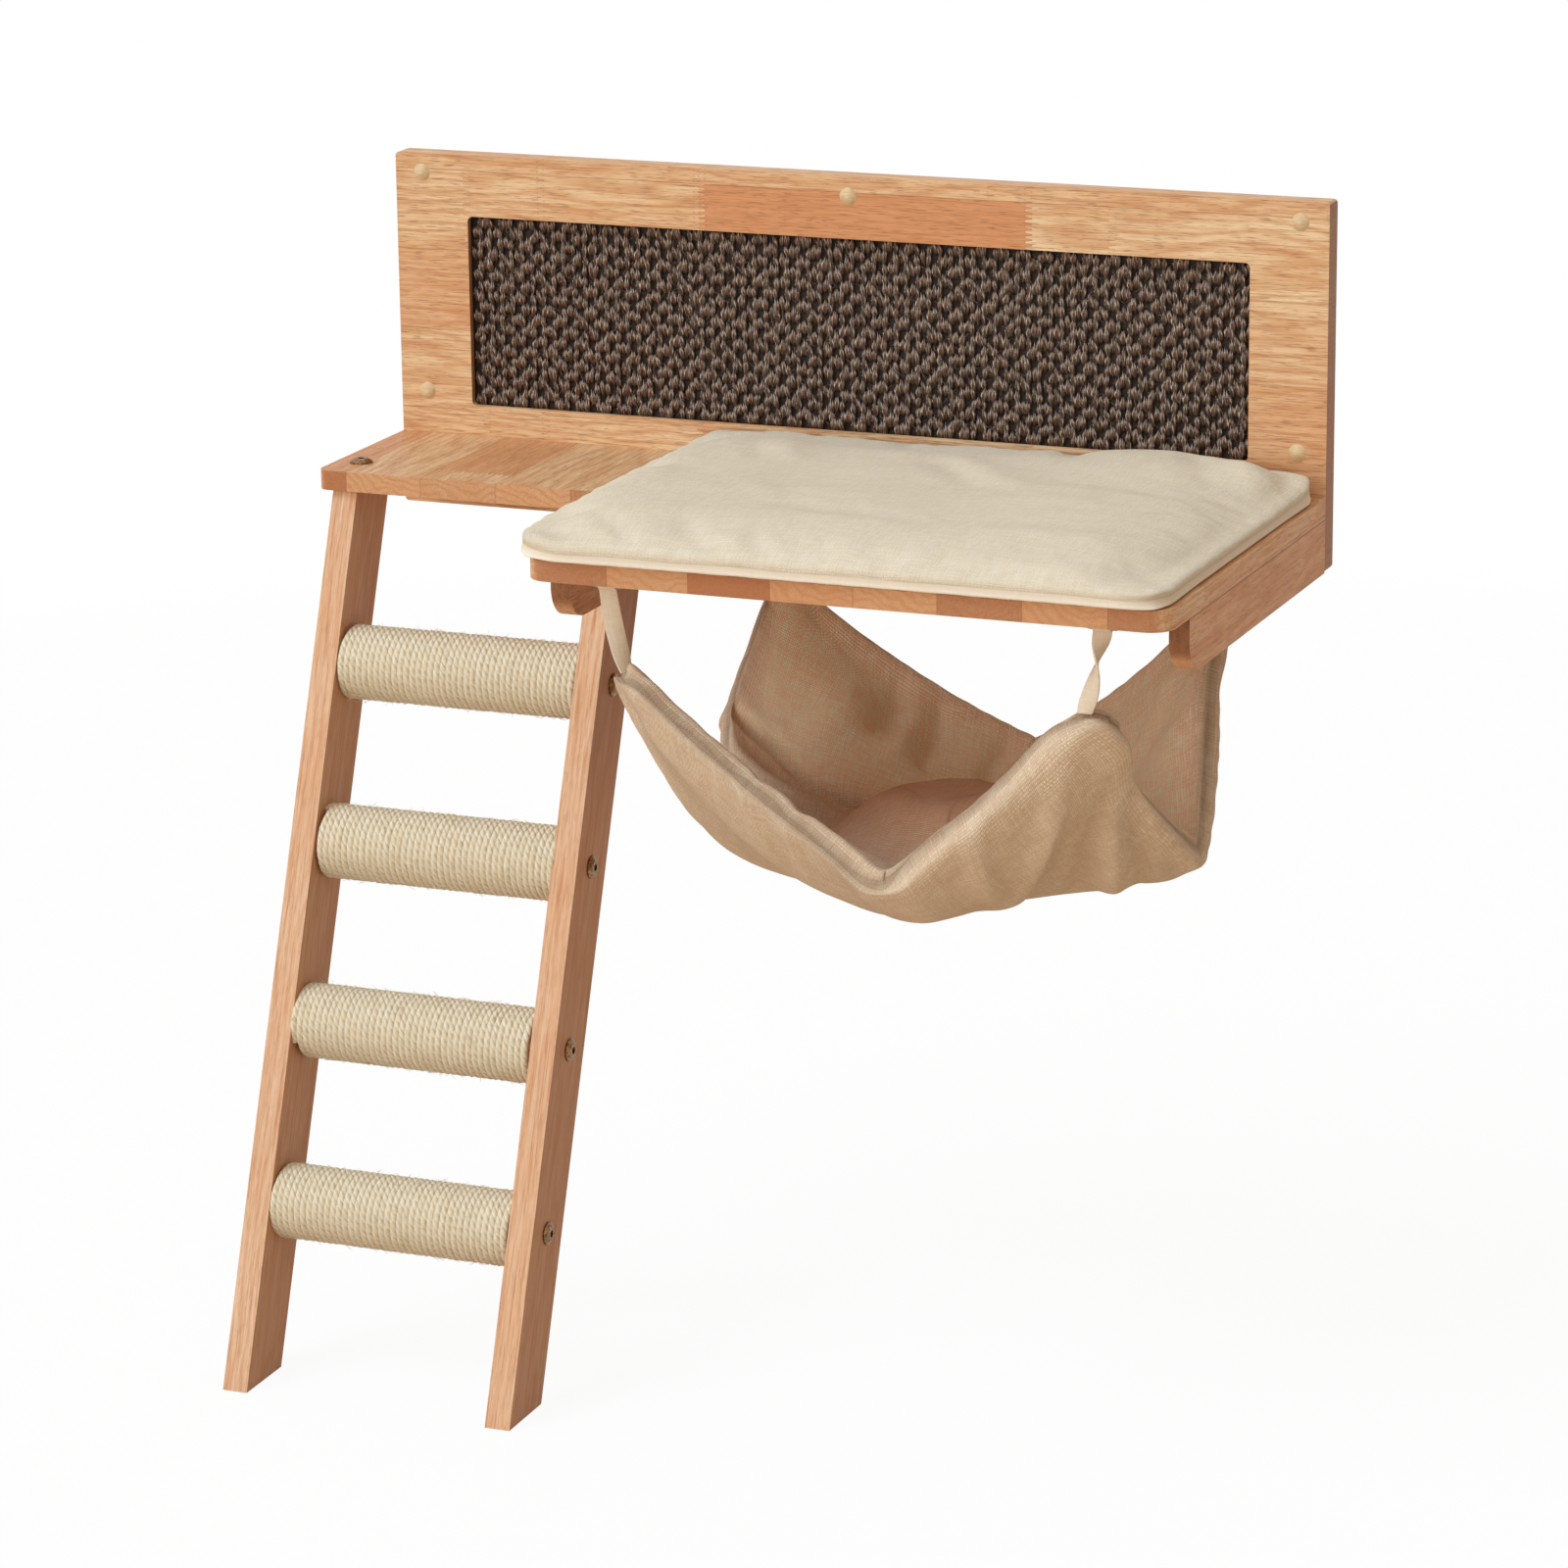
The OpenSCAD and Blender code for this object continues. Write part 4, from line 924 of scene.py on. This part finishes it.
def groundMesh():
    # the dense ground of the mat, waved where the loops leave it
    xs = np.linspace(weave["x0"] - weave["lip"], weave["x1"] + weave["lip"], 220)
    zs = np.linspace(weave["z0"] - weave["lip"], weave["z1"] + weave["lip"], 56)
    points = [place(x, weave["ground"] + weave["wave"] * math.sin(x * 1.4) * math.sin(z * 0.75), z)
              for x in xs for z in zs]
    points += [place(x, weave["back"], z) for x in xs for z in zs]
    n, m = len(xs), len(zs)
    faces = []
    for a in (i * m + j for i in range(n - 1) for j in range(m - 1)):
        b = a + n * m
        faces += [(a, a + m, a + m + 1, a + 1), (b, b + 1, b + m + 1, b + m)]
    rim = [*range(0, n * m, m), *range((n - 1) * m + 1, n * m), *range(n * m - m - 1, 0, -m),
           *range(m - 2, 0, -1)]
    faces += [(a, a + n * m, b + n * m, b) for a, b in zip(rim, rim[1:] + rim[:1])]
    return solidMesh("matGround", points, faces)


matStrays = newPiece("mat_strays", straysMesh(), straySisal)
matBase = newPiece("mat_ground", groundMesh(), matGround)
for piece in (matLoops, matStrays, matBase):
    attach(piece, "base")
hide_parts("sisal_mat")
print("mat woven,", len(spots), "loops")


# padded pieces

rimRows = (0, 0.7, 1.6, 2.8, 4.4, 6.5, 9, 12, 16, 21)   # rows of the grid, in mm in from a rim
clothLook = {"quality": 5, "stiffness": 14.0, "mass": 0.25, "pressure": 1.6, "frames": 20}


def padSteps(half, cell):
    inner = np.linspace(0, half - rimRows[-1], int((half - rimRows[-1]) / cell) + 1)
    steps = np.concatenate([inner[:-1], half - np.array(rimRows[::-1], float)])
    return np.concatenate([-steps[:0:-1], steps])


def roundedCorners(x, y, halfX, halfY, r):
    ax = np.clip((np.abs(x) - (halfX - r)) / r, 0, None)
    ay = np.clip((np.abs(y) - (halfY - r)) / r, 0, None)
    bend = (ax > 0) & (ay > 0)
    qx = np.where(bend, ax * np.sqrt(1 - ay ** 2 / 2), ax)
    qy = np.where(bend, ay * np.sqrt(1 - ax ** 2 / 2), ay)
    return (np.where(np.abs(x) > halfX - r, np.sign(x) * (halfX - r + r * qx), x),
            np.where(np.abs(y) > halfY - r, np.sign(y) * (halfY - r + r * qy), y))


def roll(d, radius):                # a quarter turn of fabric, from the seam up to the full height
    return np.sqrt(1 - (1 - np.clip(d / radius, 0, 1)) ** 2)


def smoothly(k):
    k = np.clip(k, 0, 1)
    return k * k * (3 - 2 * k)


def bell(k):
    return np.exp(-k ** 2)


def hump(k):
    return np.sin(np.pi * np.clip(k, 0, 1))


def edgeways(a, half, power):       # -1 or 1 at the rims, and about 0 between them
    return np.sign(a) * (np.abs(a) / half) ** power


def puckers(along, d, short, bend, long):   # small gathers beside a rim seam
    return np.sin(along / short + bend * np.sin(along / long)) * bell((d - 6) / 5.0)


def island(s, t, wide, deep):       # 1 on the hammock's floor, 0 on its sides
    return np.exp(-((s / wide) ** 2 + ((t + 0.04) / deep) ** 2) ** 3.0)


def folded(x, y, folds, scale=1.0):
    # soft ridges and valleys along short lines: (x0, y0, x1, y1, width, height)
    total = np.zeros_like(x)
    for *ends, width, height in folds:
        x0, y0, x1, y1 = (c * scale for c in ends)
        dx, dy = x1 - x0, y1 - y0
        k = np.clip(((x - x0) * dx + (y - y0) * dy) / (dx * dx + dy * dy), 0, 1)
        away = np.hypot(x - x0 - k * dx, y - y0 - k * dy)
        total += height * bell(away / width) * (0.55 + 0.45 * np.sin(np.pi * k))
    return total


def waves(x, y, seed, count, low, high):
    # a few crossing sine waves: gentle unevenness with no grid to it
    dice = np.random.default_rng(seed)
    total = np.zeros_like(x)
    for k in range(count):
        angle, wave, shift = (dice.uniform(*ends) for ends in (
            (0, np.pi), (low, high), (0, 2 * np.pi)))
        total += np.sin((x * np.cos(angle) + y * np.sin(angle)) * 2 * np.pi / wave + shift)
    return total / count


def lumps(x, y, kinds):             # of (seed, count, shortest, longest, height)
    return sum(waves(x, y, *kind) * height for *kind, height in kinds)


def padPiece(name, upper, lower, flat, marks, *materials):
    # two layers of fabric over one grid, sewn together along its rim; millimetres to metres
    n, m = upper.shape[0] - 1, upper.shape[1] - 1
    points = (np.vstack([upper.reshape(-1, 3), lower.reshape(-1, 3)]) - origin) * mm
    low = (n + 1) * (m + 1)
    faces = []
    for a in (i * (m + 1) + j for i in range(n) for j in range(m)):
        b, c, d = a + 1, a + m + 1, a + m + 2
        faces += [(a, c, d, b), (a + low, b + low, d + low, c + low)]
    mesh = bpy.data.meshes.new(name)
    mesh.from_pydata(points.tolist(), [], faces)
    corners = np.empty(len(mesh.loops), np.int32)
    mesh.loops.foreach_get("vertex_index", corners)
    both = np.vstack([flat.reshape(-1, 2)] * 2).astype(np.float32) * mm
    mesh.uv_layers.new(name="flat").data.foreach_set("uv", both[corners].ravel())
    markPoints(mesh, {mark: np.concatenate([values.ravel() for values in sides]).astype(np.float32)
                      for mark, sides in marks.items()})

    def sewn(work):
        work.verts.ensure_lookup_table()
        rim = [work.verts[k + layer * low] for layer in (0, 1) for k in range(low)
               if k // (m + 1) in (0, n) or k % (m + 1) in (0, m)]
        bmesh.ops.remove_doubles(work, verts=rim, dist=1e-5)

    changed(mesh, sewn)
    smoothShade(mesh)
    return newPiece(name, mesh, *materials)


def puff(piece, look):
    # cloth with air pressure in it swells and wrinkles, and no point moves further than the cap;
    # its mark "loose" says how free each point is, 0 at a seam
    mesh = piece.data
    loose = np.empty(len(mesh.vertices), np.float32)
    mesh.attributes["loose"].data.foreach_get("value", loose)
    before = pointsOf(mesh)
    group = piece.vertex_groups.new(name="held")
    group.add([int(i) for i in np.nonzero(loose < 0.02)[0]], 1.0, "REPLACE")
    cloth = piece.modifiers.new("puff", "CLOTH")
    c = cloth.settings
    c.quality = look["quality"]
    c.mass = look["mass"]
    c.tension_stiffness = c.compression_stiffness = look["stiffness"]
    c.shear_stiffness = look["stiffness"] / 2
    c.bending_stiffness = look["bending"]
    c.use_pressure = True
    c.uniform_pressure_force = look["pressure"]
    c.shrink_min = -look["spare"]       # spare cloth, which has to wrinkle
    c.effector_weights.gravity = 0
    c.vertex_group_mass = "held"
    cloth.collision_settings.use_collision = False
    cloth.point_cache.frame_start, cloth.point_cache.frame_end = 1, look["frames"]
    for step in range(1, look["frames"] + 1):
        scene.frame_set(step)
    swollen = piece.evaluated_get(bpy.context.evaluated_depsgraph_get())
    after = pointsOf(swollen.to_mesh())
    swollen.to_mesh_clear()
    piece.modifiers.clear()
    piece.vertex_groups.clear()
    scene.frame_set(1)
    move = (after - before).reshape(-1, 3)
    far = np.linalg.norm(move, axis=1, keepdims=True)
    print("  moved", round(far.mean() / mm, 2), "mm, at most", round(far.max() / mm, 2))
    move *= look["cap"] * np.tanh(far / look["cap"]) / np.maximum(far, 1e-9) * loose[:, None]
    mesh.vertices.foreach_set("co", before + move.ravel())
    mesh.update()


def filled(piece, look, rest=None):
    # swells the pad, keeps it above what it rests on, and makes its grid finer
    mesh = piece.data
    puff(piece, look)
    if rest is not None:
        spots = pointsOf(mesh)
        spots[2::3] = np.maximum(spots[2::3], rest)
        mesh.vertices.foreach_set("co", spots)
        mesh.update()
    finer = piece.modifiers.new("finer", "SUBSURF")
    finer.levels = finer.render_levels = 1
    smoothShade(baked(piece).data)


# the cushion on the shelf

cushion = {
    "x0": 264.0, "x1": 747.5, "y0": -396.0, "y1": -24.5, "base": 56.35,
    "corners": (42.0, 32.0, 30.0, 24.0),        # front left, front right, rear right, rear left
    "cell": 5.4, "seam": 7.0, "rollWide": 27.0, "linenRoll": 11.5, "crown": 26.0, "slope": 85.0,
    "rearRise": 8.5, "rearRun": 75.0, "bulge": 4.2, "bandBulge": 4.4, "leftBulge": 12.0,
    "rightDip": 2.6, "dip": 2.2, "rightRoll": 16.0, "rollPower": 0.62, "seamWave": 0.9,
    "leastSeam": 5.0, "bulgeWide": 13.0, "bandWide": 9.0, "underRoll": 8.0, "held": 4.0,
    "free": 20.0, "flatRim": 26.0, "gathers": (4.1, 2.0, 23.0),
    "lumps": ((4, 9, 70, 190, 1.8), (8, 12, 24, 60, 0.7)),
    "puff": {**clothLook, "bending": 0.25, "spare": 0.022, "cap": 0.0045},
    # creases on its top: from, to, width and height in mm
    "folds": [
        (570, -66, 690, -62, 42, 8.0), (292, -330, 292, -110, 26, 4.0),
        (700, -66, 722, -90, 24, 6.0), (330, -92, 352, -150, 9, -2.4),
        (352, -86, 380, -150, 10, 1.8), (300, -180, 380, -235, 12, -1.8),
        (322, -190, 400, -250, 12, 1.6), (480, -120, 540, -190, 11, -2.2),
        (500, -108, 565, -180, 11, 1.8), (590, -150, 690, -170, 12, -1.8),
        (560, -230, 640, -215, 14, 1.5), (430, -290, 520, -300, 15, -1.7),
        (600, -320, 700, -300, 15, 1.6), (660, -60, 690, -120, 10, -2.4),
        (700, -60, 715, -110, 9, 2.0), (300, -330, 345, -375, 12, -1.6),
        (705, -340, 735, -385, 12, -1.7), (430, -40, 440, -78, 9, -2.6),
        (560, -36, 566, -70, 9, -2.2)],
}


def cushionPiece():
    c = cushion
    halfX, halfY = (c["x1"] - c["x0"]) / 2, (c["y1"] - c["y0"]) / 2
    midX, midY = (c["x1"] + c["x0"]) / 2, (c["y1"] + c["y0"]) / 2
    a, b = np.meshgrid(padSteps(halfX, c["cell"]), padSteps(halfY, c["cell"]), indexing="ij")
    d = np.minimum(halfX - np.abs(a), halfY - np.abs(b))
    corners = np.choose(2 * (b > 0) + ((a > 0) ^ (b > 0)), c["corners"])
    x, y = roundedCorners(a, b, halfX, halfY, corners)
    # the sides pull in a little between the corners, but the left one bulges out
    x = x - np.where(x > 0, c["rightDip"], c["leftBulge"]) * (1 - (y / halfY) ** 4) \
        * smoothly((np.abs(x) / halfX - 0.6) / 0.4)
    y = y - np.sign(y) * c["dip"] * (1 - (x / halfX) ** 4) \
        * smoothly((np.abs(y) / halfY - 0.6) / 0.4)
    outX, outY = edgeways(a, halfX, 30), edgeways(b, halfY, 24)
    size = np.maximum(np.hypot(outX, outY), 1e-6)
    fade = np.clip(size * 4, 0, 1) / size
    rear = smoothly((y - halfY + c["rearRun"]) / c["rearRun"])
    seamZ = c["seam"] + c["rearRise"] * 0.8 * rear ** 2 + c["seamWave"] * waves(x, y, 3, 6, 60, 150)
    seamZ = np.maximum(seamZ, c["leastSeam"])
    along = np.where(halfX - np.abs(a) < halfY - np.abs(b), y, x)
    pucker = puckers(along, d, *c["gathers"])
    lump = lumps(x, y, c["lumps"]) + folded(midX + x, midY + y, c["folds"])
    lump = lump * smoothly(d / c["flatRim"])
    wide = c["rollWide"] + c["rightRoll"] * smoothly((x / halfX - 0.5) / 0.4)
    edge = (1 - (1 - np.clip(d / wide, 0, 1)) ** 2) ** c["rollPower"]
    crown = c["crown"] + c["rearRise"] * 0.2 * rear - c["seam"] - c["linenRoll"]
    top = seamZ + c["linenRoll"] * edge + 0.45 * pucker + lump + crown * smoothly(d / c["slope"])
    bottom = seamZ * (1 - roll(d, c["underRoll"])) + 0.25 * pucker * (d < c["underRoll"])
    swell = c["bulge"] * hump(d / c["bulgeWide"]) + 0.35 * pucker
    swellBand = c["bandBulge"] * hump(d / c["bandWide"]) + 0.3 * pucker

    def layer(out, z):
        return np.stack([midX + x + outX * fade * out, midY + y + outY * fade * out,
                         c["base"] + z], -1)

    # seam marks the rim, where the cloth is painted darker: painted shade
    seam, loose = bell(d), smoothly((d - c["held"]) / c["free"])
    piece = padPiece("seat_pad", layer(swell, top), layer(swellBand, np.maximum(bottom, 0)),
                     np.stack([a, b], -1),
                     {"seam": (seam, seam), "loose": (loose, 0 * d)},
                     cushionLinen, bandCotton)
    mesh = piece.data
    mesh.polygons.foreach_set(
        "material_index", np.arange(len(mesh.polygons), dtype=np.int32) % 2)
    filled(piece, c["puff"], (c["base"] - origin[2]) * mm)
    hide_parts("seat_cushion")
    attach(piece, "cushion")
    return piece


seatPad = cushionPiece()
print("cushion filled,", len(seatPad.data.polygons), "faces")


# the hammock

sling = {
    "midX": 510.0, "midY": -212.5, "halfX": 172.0, "halfY": 152.5, "cornerZ": -27.0,
    "sagFront": 130.0, "sagRear": 116.0, "sagSide": 146.0, "sagMiddle": 172.0, "bulge": 10.0,
    "shift": 22.0, "lowPoint": 0.16, "edgePower": 1.2, "bowlPower": 2.6, "foldHeight": 6.0,
    "foldRun": 150.0, "folds": 3, "notch": 10.0, "notchWidth": 0.14,
    "flat": 225.0, "cell": 5.3, "cornerRound": 38.0, "cornerPush": 14.0, "cornerReach": 48.0,
    "hem": 23.0, "middle": 28.0, "rimRadius": 14.0, "rimBulge": 7.0, "dome": 46.0,
    "seamIn": 5.0, "seamInRight": 5.0, "seamInLeft": -9.5, "thinCorner": 5.0, "held": 5.0,
    # at the end of the next line, how strong the floor's painted shade is; its reach follows
    "free": 22.0, "gathers": (3.9, 1.8, 19.0), "domeReach": (0.47, 0.43), "wearAndShade": 0.45,
    "shadedFloorReach": (0.62, 0.52), "lumpsIn": ((12, 10, 60, 150, 1.7), (31, 14, 24, 55, 0.8)),
    "lumpsOut": ((52, 10, 60, 150, 1.9), (71, 14, 24, 55, 0.8)), "slopeStep": 0.002,
    # places where the cloth is pushed: s, t, reach in s and t, then x, y, z in mm
    "pushes": [
        (-1.0, 0.50, 0.30, 0.42, -23, 0, 0), (-1.0, -0.45, 0.25, 0.40, -5, 0, 0),
        (0.45, -1.0, 0.25, 0.25, 5, -5, 5), (1.0, -0.10, 0.30, 0.50, 3, 0, 0),
        (-0.45, -1.0, 0.40, 0.25, -3, -3, 6), (1.0, -0.86, 0.16, 0.16, 17, 0, -4),
        (0.86, -1.0, 0.13, 0.13, -2, 0, 4), (-1.0, -1.0, 0.11, 0.11, -3, -2, 5),
        (0.65, 0.0, 0.45, 0.6, 0, 0, 13)],
    # folds through both layers, in the flat cloth: s0, t0, s1, t1, width in mm, height in mm
    "creases": [
        (-1.0, 0.47, -0.84, 0.48, 6.5, -15), (-0.84, 0.48, -0.68, 0.37, 6.5, -20),
        (-0.68, 0.37, -0.45, 0.32, 7, -20), (-0.98, 0.27, -0.55, 0.14, 18, 17),
        (0.95, -0.84, 0.60, -0.24, 13, 13), (0.82, -0.90, 0.36, -0.44, 15, -9),
        (0.99, -0.76, 0.84, -0.22, 11, 8), (0.90, -0.66, 0.72, -0.20, 11, -9),
        (0.97, 0.75, 0.70, 0.30, 15, 8), (0.80, 0.90, 0.50, 0.50, 14, -9),
        (0.28, 0.98, 0.25, 0.62, 10, -9), (-0.42, -1.0, -0.34, -0.82, 6, -5),
        (-0.24, -1.0, -0.18, -0.84, 6, -4.5), (-0.90, -0.80, -0.60, -0.50, 16, -5),
        (0.16, -1.0, 0.17, -0.78, 9, 6), (0.50, -0.98, 0.42, -0.62, 10, -5)],
    # dents and ridges of the inner layer alone
    "dents": [
        (-0.56, 0.72, -0.46, 0.93, 9, -10), (-0.46, 0.66, -0.36, 0.90, 8, 8),
        (-0.33, 0.70, -0.28, 0.95, 9, -9), (-0.70, 0.60, -0.60, 0.80, 14, 7),
        (-0.05, 0.66, 0.02, 0.93, 10, -9), (0.10, 0.66, 0.12, 0.90, 9, 7),
        (0.60, 0.40, 0.80, 0.75, 12, -8), (0.85, 0.10, 0.92, 0.60, 12, 7),
        (-0.62, -0.10, -0.40, -0.42, 10, -9), (-0.70, -0.35, -0.50, -0.62, 8, -7)],
    "puff": {**clothLook, "bending": 0.3, "spare": 0.025, "cap": 0.0042},
}


def slingSurface(s, t):
    h = sling
    low = h["lowPoint"]
    fromLow = (s - low) / np.where(s < low, 1 + low, 1 - low)
    gs, gt = (1 - np.abs(way) ** h["edgePower"] for way in (fromLow, t))
    hs, ht = (1 - np.abs(way) ** h["bowlPower"] for way in (s, t))
    sagEdge = np.where(t < 0, h["sagFront"], h["sagRear"])
    a, b = 1 - np.abs(s), 1 - np.abs(t)
    fold = -h["foldHeight"] * np.sin(2 * h["folds"] * np.arctan2(b, a)) \
        * np.sin(np.radians(np.minimum(180, h["foldRun"] * np.hypot(a, b))))
    notch = -h["notch"] * bell((s - low) / h["notchWidth"]) * np.clip(-t, 0, None) ** 8
    x = h["midX"] + s * (h["halfX"] + h["bulge"] * gt) + h["shift"] * gt
    y = h["midY"] + t * (h["halfY"] + h["bulge"] * gs)
    z = h["cornerZ"] - sagEdge * gs * (1 - ht) - h["sagSide"] * gt * (1 - hs) \
        - h["sagMiddle"] * hs * ht + fold + notch
    for ps, pt, reachS, reachT, dx, dy, dz in h["pushes"]:
        near = np.exp(-((s - ps) / reachS) ** 2 - ((t - pt) / reachT) ** 2)
        x, y, z = x + dx * near, y + dy * near, z + dz * near
    return np.stack([x, y, z], -1)


def unit(v):
    return v / np.maximum(np.linalg.norm(v, axis=-1, keepdims=True), 1e-9)


def slingPiece():
    h = sling
    flat, e = h["flat"], h["slopeStep"]
    a, b = np.meshgrid(padSteps(flat, h["cell"]), padSteps(flat, h["cell"]), indexing="ij")
    d = flat - np.maximum(np.abs(a), np.abs(b))
    fx, fy = roundedCorners(a, b, flat, flat, h["cornerRound"])
    s, t = fx / flat, fy / flat
    p = slingSurface(s, t)
    acrossS = unit(slingSurface(np.minimum(s + e, 1), t) - slingSurface(np.maximum(s - e, -1), t))
    acrossT = unit(slingSurface(s, np.minimum(t + e, 1)) - slingSurface(s, np.maximum(t - e, -1)))
    normal = unit(np.cross(acrossS, acrossT))
    out = edgeways(a, flat, 24)[..., None] * acrossS + edgeways(b, flat, 24)[..., None] * acrossT
    out = unit(out) * np.clip(np.linalg.norm(out, axis=-1, keepdims=True) * 4, 0, 1)
    # the corners are blunt, and reach up to their straps
    fromCorner = np.hypot(np.abs(s) - 1, np.abs(t) - 1) * flat
    corner = bell(fromCorner / h["cornerReach"])[..., None]
    p = p + unit(np.sign(s)[..., None] * acrossS + np.sign(t)[..., None] * acrossT) \
        * corner * h["cornerPush"]
    thick = h["hem"] + (h["middle"] - h["hem"]) * smoothly(d / 70) \
        - h["thinCorner"] * corner[..., 0] ** 2
    # the seam sits on the inner side of the rim, most of all right of the front's low point
    front = smoothly((-t - 0.6) / 0.3)
    seamIn = h["seamIn"] + h["seamInRight"] * smoothly((s - 0.1) / 0.25) * front \
        + h["seamInLeft"] * smoothly((0.2 - s) / 0.15) * smoothly((-b - 0.6 * flat) / (0.3 * flat))
    p = p + normal * (seamIn * (1 - roll(d, h["rimRadius"])))[..., None]
    along = np.where(np.abs(a) > np.abs(b), b, a)
    pucker = puckers(along, d, *h["gathers"])
    half = thick / 2 * roll(d, h["rimRadius"]) + 0.4 * pucker
    dome = h["dome"] * island(s - 0.02, t, *h["domeReach"])
    free = smoothly(d / h["free"])
    crease = folded(s * flat, t * flat, h["creases"], flat) * smoothly(d / 12 + 0.25)
    dents = folded(s * flat, t * flat, h["dents"], flat) * free
    lumpIn, lumpOut = lumps(a, b, h["lumpsIn"]) * free, lumps(a, b, h["lumpsOut"]) * free
    swell = (h["rimBulge"] * hump(d / h["rimRadius"]) + 0.3 * pucker)[..., None]
    upper = p + normal * (half + dome + crease + dents + lumpIn)[..., None] + out * swell
    lower = p - normal * (half - crease + lumpOut)[..., None] + out * swell
    # seam marks the rim, where the cloth is painted darker: painted shade
    seam = bell(d / 1.1)
    loose = smoothly((d - h["held"]) / h["free"])
    # the floor is painted darker and browner than the rest: painted shade
    wearAndShade = h["wearAndShade"] * island(s, t, *h["shadedFloorReach"])
    # the inner walls at the rear and on the right are painted brighter: painted light
    paintedLight = smoothly((t - 0.25) / 0.3 + np.clip(s - 0.6, 0, 1) * 4) * smoothly(d / 20)
    piece = padPiece("sling_mat", upper, lower, np.stack([a, b], -1),
                     {"seam": (seam, seam), "loose": (loose, loose), "wearAndShade": (wearAndShade, 0 * wearAndShade),
                      "paintedLight": (paintedLight, 0 * paintedLight)},
                     hammockLinen)
    filled(piece, h["puff"])
    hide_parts("hammock_mat")
    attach(piece, "hammock")
    return piece


slingMat = slingPiece()
print("hammock hung,", len(slingMat.data.polygons), "faces")


# straps

tape = {
    "wide": 13.6, "thick": 1.25, "layers": 1.35, "bar": 35.5, "loop": 2.3, "cornerZ": -26.6,
    "draw": 13.0, "bow": 1.4, "narrow": 0.16, "loopSteps": 24, "downSteps": 44,
    # half of its section: shares of the half width and of the half thickness
    "section": ((-1, 0), (-0.985, 0.7), (-0.93, 1), (0, 1), (0.93, 1), (0.985, 0.7)),
}


def ribbon(name, rows, thick):
    # rows are (middle, half its width, face direction): a flat closed band with soft rims
    points, flat = [], []
    profile = [*tape["section"], *((-a, -b) for a, b in tape["section"])]
    run = 0.0
    for k, (middle, wide, face) in enumerate(rows):
        run += (middle - rows[k - 1][0]).length if k else 0.0
        for a, b in profile:
            points.append(middle + wide * a + face * (b * thick / 2))
            flat.append((a * wide.length, run))
    m, last = len(profile), len(points) - len(profile)
    faces = [(k + j, k + (j + 1) % m, k + m + (j + 1) % m, k + m + j)
             for k in range(0, last, m) for j in range(m)]
    mesh = solidMesh(name, points, [*faces, range(m - 1, -1, -1), range(last, last + m)])
    layer = mesh.uv_layers.new(name="flat")
    for loop in mesh.loops:
        layer.data[loop.index].uv = flat[loop.vertex_index]
    return mesh


def strap(name, node, x, y, side, turned):
    # one turn of tape round the bar, and two layers that hang down as one
    t = tape
    rows, wide = [], t["wide"] / 2 * mm
    for k in range(t["loopSteps"] + 1):
        a = math.radians(-90 + 360 * k / t["loopSteps"])
        middle = place(x, y + t["loop"] * math.cos(a), t["bar"] + t["loop"] * math.sin(a))
        rows.append((middle, Vector((wide, 0, 0)), Vector((0, math.cos(a), math.sin(a)))))
    loop = ribbon(name + "Loop", rows, t["thick"] * mm)
    rows, top = [], t["bar"] - t["loop"]
    for k in range(t["downSteps"] + 1):
        f = k / t["downSteps"]
        a = turned(f)
        bow = t["bow"] * math.sin(math.pi * f)
        middle = place(x + side * (t["draw"] * f - bow), y, top - (top - t["cornerZ"]) * f)
        half = Vector((math.cos(a), math.sin(a), 0)) * wide
        rows.append((middle, half * (1.0 - t["narrow"] * smoothly(f * 6 - 5.0)),
                     Vector((-math.sin(a), math.cos(a), 0))))
    band = ribbon(name + "Band", rows, t["layers"] * t["thick"] * mm)
    work = bmesh.new()
    work.from_mesh(loop)
    work.from_mesh(band)
    work.to_mesh(band)
    work.free()
    smoothShade(band)
    piece = newPiece(name, band, tapeCotton)
    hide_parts(node)
    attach(piece, node)


for end, x, y, side, turned in (
        ("front_left", 325, -365, 1, lambda f: 1.25 * f ** 1.3),
        ("front_right", 695, -365, -1, lambda f: math.pi * (1 - (1 - f) ** 1.8)),
        ("rear_left", 325, -60, 1, lambda f: -0.35 * f),
        ("rear_right", 695, -60, -1, lambda f: 0.45 * f)):
    strap("tape_" + end, "strap_" + end, x, y, side, turned)
print("straps made")


print("pieces done")
